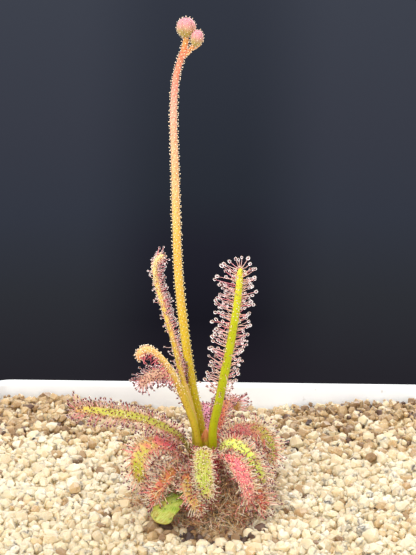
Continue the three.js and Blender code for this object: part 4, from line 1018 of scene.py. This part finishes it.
bud_skin, tree = new_finish("bud_skin")
place = node(tree, "TexCoord", out="Object")
along, notch = [node(tree, "Attribute", out="Fac", attribute_name=key) for key in ("along", "across")]
fleck = node(tree, "TexNoise", {"Vector": place, "Scale": 1500.0, "Detail": 3.0})
hue = node(tree, "ValToRGB", {"Fac": nudged(tree, along, fleck, 0.3)}, {
    0: 0xB4A038, 0.28: 0xBCA05C, 0.5: 0xD49C84, 0.7: 0xDE989A, 1: 0xE494A8})
# Painted shade: the notches, where one sepal overlaps the next, are painted darker
deep = node(tree, "MapRange", {"Value": notch, "From Min": 0.3, "From Max": 1.0, "To Max": 0.7})
hue = node(tree, "Mix", {0: deep, 6: hue, 7: linear(0xA86458)}, data_type="RGBA")
velvet = node(tree, "BsdfPrincipled", {
    "Base Color": hue,
    "Normal": node(tree, "Bump", {"Height": fleck, "Strength": 0.4, "Distance": 0.0002}),
    "Roughness": 0.5, "IOR": 1.4, "Subsurface Weight": 0.2, "Subsurface Scale": 0.001,
    "Subsurface Radius": (1.0, 0.4, 0.3), "Sheen Weight": 0.25})
node(tree, "OutputMaterial", {"Surface": velvet})


def make_bud(name, bud, rng):
    """A bud of five sepals, and the velvet on it.

    r = radius * outline(h) * (1 - 0.13 * notch + 0.04 * (1 - sector)): sector runs from 0 to 1 over a sepal,
    on a slight spiral, and the notch is deepest where one sepal overlaps the next.
    """
    ahead = unit(np.array(bud["axis"], float))
    side = unit(np.cross([0, 1, 0], ahead))
    up = np.cross(ahead, side)
    middle = PLANT + np.array(bud["centre"])
    level = 0.5 - 0.5 * np.cos(np.pi * np.linspace(0, 1, BUD_RINGS))
    outline = np.sqrt(np.clip(1 - (2 * level - 1) ** 2, 0.002, 1)) * (1 + 0.08 * (0.5 - level))
    angle = np.arange(BUD_SIDES) * 2 * np.pi / BUD_SIDES
    sector = (2.5 * (angle[None] + 0.7 * level[:, None]) / np.pi + bud["turn"]) % 1
    notch = np.exp(-(sector / 0.09) ** 2) + np.exp(-((1 - sector) / 0.03) ** 2)
    radius = bud["radius"] * outline[:, None] * (1 - 0.13 * notch + 0.04 * (1 - sector))
    height = (level - 0.5 - 0.05 * np.exp((level - 1) / 0.015)) * bud["height"]
    body = wrap((middle + ahead * height[:, None])[None], side[None], up[None],
                radius[..., None] * circle(BUD_SIDES), along=level, across=notch[None])
    count = int(HAIRS_PER_MM * bud["radius"])
    share = (np.arange(count) + 0.5) / count
    wide = 2 * np.sqrt(share * (1 - share))
    out = up_and_out(side, up, np.arange(count) * GOLDEN_ANGLE) * wide[:, None]
    foot = middle + out * bud["radius"] * 0.97 + ahead * ((share - 0.5) * bud["height"] * 0.97)[:, None]
    way = unit(out + ahead * (2 * share - 1)[:, None])
    down = hairs(foot, way, 0.4 * rng.uniform(0.6, 1, count), BUD_BEAD, 0.9)
    make_piece(name + "_fine", [(body, bud_skin), (down, hair_tissue)], replaced=[name], slot="bud")


for number, (name, bud) in enumerate(BUDS.items()):
    make_bud(name, bud, np.random.default_rng(40 + number))

# %% [markdown]
# ## The crown
#
# The crown is the short stem from which everything grows. Only its top shows: a reddish, half-transparent
# cone of folded young leaves with brown stipules round it. Below it is a plain root stock, which the grit
# hides.

# %% Crown
CROWN_OUTLINE = [  # height over the grit and radius
    (-13.4, 0.1), (-12.8, 0.9), (-9, 1.5), (-1, 1.9), (3, 2.2), (10.5, 2.2), (13.5, 1.8), (16, 1.2),
    (17.6, 0.6), (18.4, 0.1)]
CROWN_SIDES = 40
FOLDS = 5
crown_skin = leaf_skin("crown_tissue", {
    0: 0x4A3422, 0.5: 0x7A5A2E, 0.75: 0xA09018, 0.9: 0xBCA828, 0.935: 0xD88850, 1: 0xE4946C},
    edge=0x9A5028, edge_share=0.3, sway=0.08, streak=0xA88820, dot=0x7A2C24, bump=0.5)
rise, reach = line_through([(z, r, 0) for z, r in CROWN_OUTLINE], 70)[:, :2].T
lowest, highest = CROWN_OUTLINE[0][0], CROWN_OUTLINE[-1][0]
angle = np.arange(CROWN_SIDES) * 2 * np.pi / CROWN_SIDES
fold = 1 + 0.1 * np.cos(FOLDS * angle + rise[:, None] * 0.5) * np.clip(rise / 9, 0, 1)[:, None]
core = upright(rise, (np.maximum(reach, 0.05)[:, None] * fold)[..., None] * circle(CROWN_SIDES), PLANT,
               along=(rise - lowest) / (highest - lowest), across=np.clip(1.1 - fold, 0, 0.2)[None] * 5)
make_piece("crown_fine", [(core, crown_skin)], replaced=["crown"], slot="crown_tissue")

# %% [markdown]
# ## The pot
#
# The pot is injection-moulded polypropylene: white, glossy and a little milky, with soft edges where the
# mould was rounded. It is made as a stack of rounded squares that goes up the outside, over the rim and
# down the inside, so that the wall has its thickness and no seam. Grit dust leaves a few brown specks on
# the white. Down the inside of the wall, and only on the left, the white is also painted greyer: painted
# shade, with some grit grime.

# %% Pot
POT_CORNER_STEPS = 12
EDGE_RINGS = 5


def rounded_square(half, radius):
    """Corners of a square with round corners, anticlockwise from the middle of the right side."""
    turn = np.linspace(0, np.pi / 2, POT_CORNER_STEPS + 1)
    quarter = np.arange(4)[:, None] * np.pi / 2
    reach = (half - radius) * math.sqrt(2)
    x = reach * np.cos(quarter + np.pi / 4) + radius * np.cos(quarter + turn)
    y = reach * np.sin(quarter + np.pi / 4) + radius * np.sin(quarter + turn)
    return np.stack([x.ravel(), y.ravel()], axis=-1)


def soft_edge(half, radius, height, rounding, start):
    """Rings round an edge: a quarter circle of the given rounding, from the angle start in degrees."""
    turn = np.radians(start + np.linspace(0, 90, EDGE_RINGS))
    return [(half + rounding * math.cos(t), radius + rounding * math.cos(t), height + rounding * math.sin(t))
            for t in turn]


POT_OUTLINE = [  # half the width, corner radius and height of each ring
    *soft_edge(58.0, 5.0, 1.0, 1.0, -90),
    (66.8, 6.0, 52.5),
    *soft_edge(69.7, 7.5, 53.0, 0.5, -90),
    *soft_edge(69.4, 7.2, 59.2, 0.8, 0),
    *soft_edge(66.9, 5.6, 59.5, 0.5, 90),
    (66.3, 5.0, 59.0),
    (65.9, 5.0, 56.5),
    (57.0, 4.0, 3.0),
]
# painted shade, with some grit grime: how far each of the last rings is greyed
SHADE_AND_GRIME = [0.15, 0.35, 0.8]  # on the last rings, down the inside
polypropylene, tree = new_finish("moulded_polypropylene_white")
place = node(tree, "TexCoord", out="Object")
cloud, dust, ripple = [node(tree, "TexNoise", {"Vector": place, "Scale": scale, "Detail": detail})
                       for scale, detail in ((35.0, 4.0), (330.0, 2.0), (260.0, 2.0))]
white = node(tree, "ValToRGB", {"Fac": cloud}, {0.3: 0xF4F8FE, 0.7: 0xFAFEFF})
speck = node(tree, "MapRange", {"Value": dust, "From Min": 0.7, "From Max": 0.78, "To Max": 0.4})
white = node(tree, "Mix", {0: speck, 6: white, 7: linear(0x8A7460)}, data_type="RGBA")
# Painted shade, with some grit grime: the inside of the wall turns greyer towards the grit, on the left side
# only
shade_and_grime = node(tree, "Attribute", out="Fac", attribute_name="tone")
left = node(tree, "MapRange", {"Value": node(tree, "SeparateXYZ", {"Vector": place}), "From Min": 0.02,
                               "From Max": -0.03})
shade_and_grime = node(tree, "Math", {0: shade_and_grime, 1: left}, operation="MULTIPLY")
white = node(tree, "Mix", {0: shade_and_grime, 6: white, 7: linear(0xCCC8C6)}, data_type="RGBA")
plastic = node(tree, "BsdfPrincipled", {
    "Base Color": white,
    "Normal": node(tree, "Bump", {"Height": ripple, "Strength": 0.05, "Distance": 0.0005}),
    "Roughness": 0.28, "IOR": 1.49, "Coat Weight": 0.1, "Coat Roughness": 0.2})
node(tree, "OutputMaterial", {"Surface": plastic})

squares = np.stack([rounded_square(half, radius) for half, radius, _ in POT_OUTLINE])
shade_and_grime_depth = np.concatenate([np.zeros(len(POT_OUTLINE) - len(SHADE_AND_GRIME)), SHADE_AND_GRIME])
pot_shell = upright([height for *_, height in POT_OUTLINE], squares, tone=shade_and_grime_depth)
make_piece("pot_fine", [(pot_shell, polypropylene)], replaced=["pot"], slot="pot_plastic")

# %% [markdown]
# ## Quartz grit
#
# Washed quartz grit is a mix of milky, clear, honey-coloured and a few dark grains, about two millimetres
# across, rounded but never round. Each grain here is one small ball of 24 faces, cut flat by random planes,
# squeezed along three directions and turned. They are laid on a jittered grid, so that they cover the bed
# like real ones, with a second, thinner layer and small chips on top. Grains get browner towards the back,
# where the grit stays damp. In the hollow in front of the plant they are darker and browner as well:
# partly dark grains, and partly painted shade.

# %% Shapes of grains
GRIT_HALF = 65.4
GRIT_CORNER = 4.6
FACETS = 7  # flat faces that are cut from a grain
ROUND_RADIUS = 1.15  # of a grain where no face is cut, in halves of its width


def smoothstep(value, low, high):
    """0 below low, 1 above high, and 3t^2 - 2t^3 between them."""
    t = np.clip((value - low) / (high - low), 0, 1)
    return t * t * (3 - 2 * t)


def grit_height(x, y):
    """The bed's surface: heaped at the sides and the back, hollow round the plant."""
    heap = smoothstep(np.abs(x), 14, 52) * (0.9 + 1.7 * smoothstep(y, 20, 62))
    near = 1 - smoothstep(np.hypot(x - PLANT[0], y - PLANT[1]), 12, 24)
    return GRIT_LEVEL + heap - 0.9 * near


def ball():
    """A cube with each face cut in four and its 26 points pushed onto a ball: points and 24 quads."""
    grid = np.stack(np.meshgrid([-1, 0, 1], [-1, 0, 1], [-1, 0, 1], indexing="ij"), -1).reshape(-1, 3)
    shell = grid[np.abs(grid).max(1) == 1]
    number = {tuple(point): index for index, point in enumerate(shell)}
    axes = np.eye(3, dtype=int)
    quads = []
    for axis in range(3):
        out, first, second = axes[axis], axes[(axis + 1) % 3], axes[(axis + 2) % 3]
        for sign in (-1, 1):
            for u, v in ((-1, -1), (-1, 0), (0, -1), (0, 0)):
                corners = [(u, v), (u + 1, v), (u + 1, v + 1), (u, v + 1)][::sign]
                quads.append([number[tuple(sign * out + a * first + b * second)] for a, b in corners])
    return unit(shell.astype(float)), np.array(quads)


def small_ball():
    """The 14 points of a cube's corners and face centres on a ball, with 24 triangles."""
    axes = np.vstack([np.eye(3), -np.eye(3)])
    cube = np.array([(x, y, z) for x in (-1, 1) for y in (-1, 1) for z in (-1, 1)]) / math.sqrt(3)
    triangles = []
    for number, axis in enumerate(axes):
        near = np.flatnonzero(cube @ axis > 0)
        first = cube[near[0]] - axis * (cube[near[0]] @ axis)
        angle = np.arctan2(np.cross(first, cube[near]) @ axis, cube[near] @ first)
        ring = near[np.argsort(angle)] + 6
        triangles += [(number, ring[k], ring[(k + 1) % 4]) for k in range(4)]
    return np.vstack([axes, cube]), np.array(triangles)


def random_turns(count, rng):
    """Random rotations as (N, 3, 3), from unit quaternions."""
    w, x, y, z = unit(rng.normal(size=(count, 4))).T
    return np.stack([
        1 - 2 * (y * y + z * z), 2 * (x * y - z * w), 2 * (x * z + y * w),
        2 * (x * y + z * w), 1 - 2 * (x * x + z * z), 2 * (y * z - x * w),
        2 * (x * z - y * w), 2 * (y * z + x * w), 1 - 2 * (x * x + y * y),
    ], axis=1).reshape(-1, 3, 3)


def grains(centre, width, tone, shell, faces, rng):
    """One grain for each centre, cut flat by random planes.

    A ray from a grain's middle, along direction d, ends at the first plane it meets. Over the planes with
    normal n at height h that is r = min(h / (d . n)), and never more than ROUND_RADIUS.
    """
    count = len(centre)
    normals = unit(rng.normal(size=(count, FACETS, 3)))
    heights = rng.uniform(0.5, 0.95, (count, 1, FACETS))
    met = np.einsum("kj,npj->nkp", shell, normals)
    radius = np.minimum((heights / np.maximum(met, 0.01)).min(axis=2), ROUND_RADIUS)
    points = shell * radius[..., None] * rng.uniform(0.8, 1.15, (count, 1, 3)) * (width / 2)[:, None, None]
    points = np.einsum("nij,nkj->nki", random_turns(count, rng), points) + centre[:, None]
    shift = (np.arange(count) * len(shell))[:, None, None]
    faces = (faces + shift).reshape(-1, faces.shape[1])
    none = {kind: np.zeros((0, corners), int) for kind, corners in FACES.items()}
    kind = "quads" if faces.shape[1] == 4 else "triangles"
    return {**none, kind: faces, "points": points.reshape(-1, 3), "tone": np.repeat(tone, len(shell))}


# %% Where the grains lie
GRAIN_PITCH = 2.15
GRAIN_WIDTH = (1.9, 3.9)
CHIP_WIDTH = (1.0, 1.7)
UPPER, CHIPS = 1300, 2600  # grains of the second layer, and chips on top
BIG_SHARE, BIG = 0.08, 1.25  # a few grains are wider by this factor
CROWN_CLEAR = 3.6  # no grain lies nearer to the plant's middle
THIN_WITHIN, THIN_SHARE = 12, 0.8  # under the skirt only this share of the grains is kept
PLAIN_BEYOND = 32.0  # grains further to the back or the front get as few points as the chips

rng = np.random.default_rng(2024)
steps = np.arange(-GRIT_HALF, GRIT_HALF, GRAIN_PITCH)
x, y = np.meshgrid(steps, steps)
x = x + np.where(np.arange(len(steps)) % 2, 0.5, 0.0)[:, None] * GRAIN_PITCH
x, y = np.stack([x.ravel(), y.ravel()]) + rng.normal(0, 0.3, (2, x.size))
lower = x.size
x, y = np.concatenate([[x, y], rng.uniform(-GRIT_HALF, GRIT_HALF, (2, UPPER + CHIPS))], axis=1)
lift = np.concatenate([
    rng.normal(0.3, 0.28, lower), rng.uniform(0.8, 1.4, UPPER), rng.uniform(0.5, 1.5, CHIPS)])
small = np.arange(x.size) >= x.size - CHIPS
width = np.where(small, rng.uniform(*CHIP_WIDTH, x.size), rng.uniform(*GRAIN_WIDTH, x.size))
width = width * np.where(rng.random(x.size) < BIG_SHARE, BIG, 1.0)
into = GRIT_HALF - GRIT_CORNER
inside = np.hypot(np.maximum(np.abs(x) - into, 0), np.maximum(np.abs(y) - into, 0)) < GRIT_CORNER - width / 2
away = np.hypot(x - PLANT[0], y - PLANT[1])
kept = inside & (away > CROWN_CLEAR) & ((away > THIN_WITHIN) | (rng.random(x.size) < THIN_SHARE))
x, y, lift, width, away, small = [values[kept] for values in (x, y, lift, width, away, small)]
middles = np.stack([x, y, grit_height(x, y) + lift], axis=1)
plain = small | (np.abs(y) > PLAIN_BEYOND)
print("grains", len(x))

# %% Which grains are damp, dark or clear
# In the hollow in front of the plant and at a few spots, grains are darker and browner: partly dark grains,
# partly painted shade
DARK_SPOTS = [(7.0, -13.4, 2.0), (4.2, -11.8, 1.4), (10.4, -13.9, 1.5), (-11.6, -8.8, 2.2), (0.8, -12.0, 1.4)]
HOLLOW_AWAY, HOLLOW_WIDTH = 20.5, 4.6  # the dark hollow in front lies this far from the plant
damp = smoothstep(y, 22, 54) * (0.5 + 0.65 * smoothstep(np.abs(x), 8, 34))
ahead = smoothstep(PLANT[1] - y, 8, 15) * (1 - smoothstep(np.abs(x + 1), 9, 16))
hollow = 0.95 * ahead * np.exp(-(((away - HOLLOW_AWAY) / HOLLOW_WIDTH) ** 2))
for spot_x, spot_y, spot_size in DARK_SPOTS:
    spot = np.exp(-(((x - spot_x) / spot_size) ** 2 + ((y - spot_y) / spot_size) ** 2) / 2)
    hollow = np.maximum(hollow, spot)
draw = rng.random(len(x))
dark = draw < 0.006 + 0.5 * hollow + 0.1 * damp
honey = ~dark & (draw < 0.07 + 0.75 * damp + 0.95 * hollow)
shade = rng.random(len(x)) * (1 - 0.2 * damp) * (1 - 0.8 * hollow)
clear = ~dark & ~honey & (draw < 0.5)
milky = ~dark & ~honey & ~clear
width = np.where(dark, 0.8, 1.0) * width
print("dark", dark.sum(), "honey", honey.sum(), "clear", clear.sum(), "milky", milky.sum())


# %% Quartz and stone
def quartz(name, stops, roughness, coat, vein=0.3, milk=0.0):
    """Quartz: each grain takes its colour from the ramp by its own tone, and two noises cloud it."""
    material, tree = new_finish(name)
    place = node(tree, "TexCoord", out="Object")
    tone = node(tree, "Attribute", out="Fac", attribute_name="tone")
    cloud, patch = [node(tree, "TexNoise", {"Vector": place, "Scale": scale, "Detail": detail})
                    for scale, detail in ((900.0, 4.0), (90.0, 1.0))]
    tone = nudged(tree, nudged(tree, tone, cloud, vein), patch, 1.2)
    stone = node(tree, "BsdfPrincipled", {
        "Base Color": node(tree, "ValToRGB", {"Fac": tone}, stops),
        "Normal": node(tree, "Bump", {"Height": cloud, "Strength": 0.12, "Distance": 0.0003}),
        "Roughness": roughness, "IOR": 1.54, "Coat Weight": coat, "Coat Roughness": 0.08,
        "Subsurface Weight": milk, "Subsurface Scale": 0.0014, "Subsurface Radius": (0.8, 0.9, 1.0)})
    node(tree, "OutputMaterial", {"Surface": stone})
    return material


QUARTZ = {
    "grains_milky": (milky, quartz("quartz_milky", {
        0: 0xDCC8A2, 0.3: 0xE0CEAA, 0.6: 0xE4D6B4, 1: 0xF0E4CC}, 0.5, 0.12, vein=0.15, milk=1.0)),
    "grains_clear": (clear, quartz("quartz_clear", {
        0: 0xD6C4A2, 0.4: 0xDCCEAE, 0.8: 0xE4D8BC, 1: 0xE6DCC2}, 0.35, 0.2, vein=0.2, milk=0.9)),
    "grains_honey": (honey, quartz("quartz_honey", {
        0: 0x8C6C48, 0.4: 0xB89A70, 0.75: 0xCCB084, 1: 0xDCC69C}, 0.4, 0.2, milk=0.9)),
    "grains_dark": (dark, quartz("dark_stone", {0: 0x3A2620, 0.5: 0x644634, 1: 0x8C7458}, 0.5, 0.15)),
}
for name, (chosen, finish) in QUARTZ.items():
    heaps = [(chosen & ~plain, ball()), (chosen & plain, small_ball())]
    make_piece(name, [(grains(middles[own], width[own], shade[own], *shape, rng), finish)
                      for own, shape in heaps], slot="quartz_grit", smooth=False)

# %% The bed under the grains: its sand colour, painted pale as painted light in the gaps
bed, tree = new_finish("pale_grit_bed_and_painted_light")
place = node(tree, "TexCoord", out="Object")
sand = node(tree, "TexVoronoi", {"Vector": place, "Scale": 700.0})
grit = node(tree, "BsdfPrincipled", {
    # Partly the sand's own colour, partly painted light: the bed in the gaps is paler than most grains, for
    # light that shines through the quartz
    "Base Color": node(tree, "ValToRGB", {"Fac": sand}, {0: 0xF8E4BC, 0.5: 0xECD4A4, 0.9: 0xD0B484}),
    "Normal": node(tree, "Bump", {"Height": sand, "Strength": 0.8, "Distance": 0.0008}),
    "Roughness": 0.6, "IOR": 1.5})
node(tree, "OutputMaterial", {"Surface": grit})
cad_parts["grit"].data.materials.clear()
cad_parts["grit"].data.materials.append(bed)
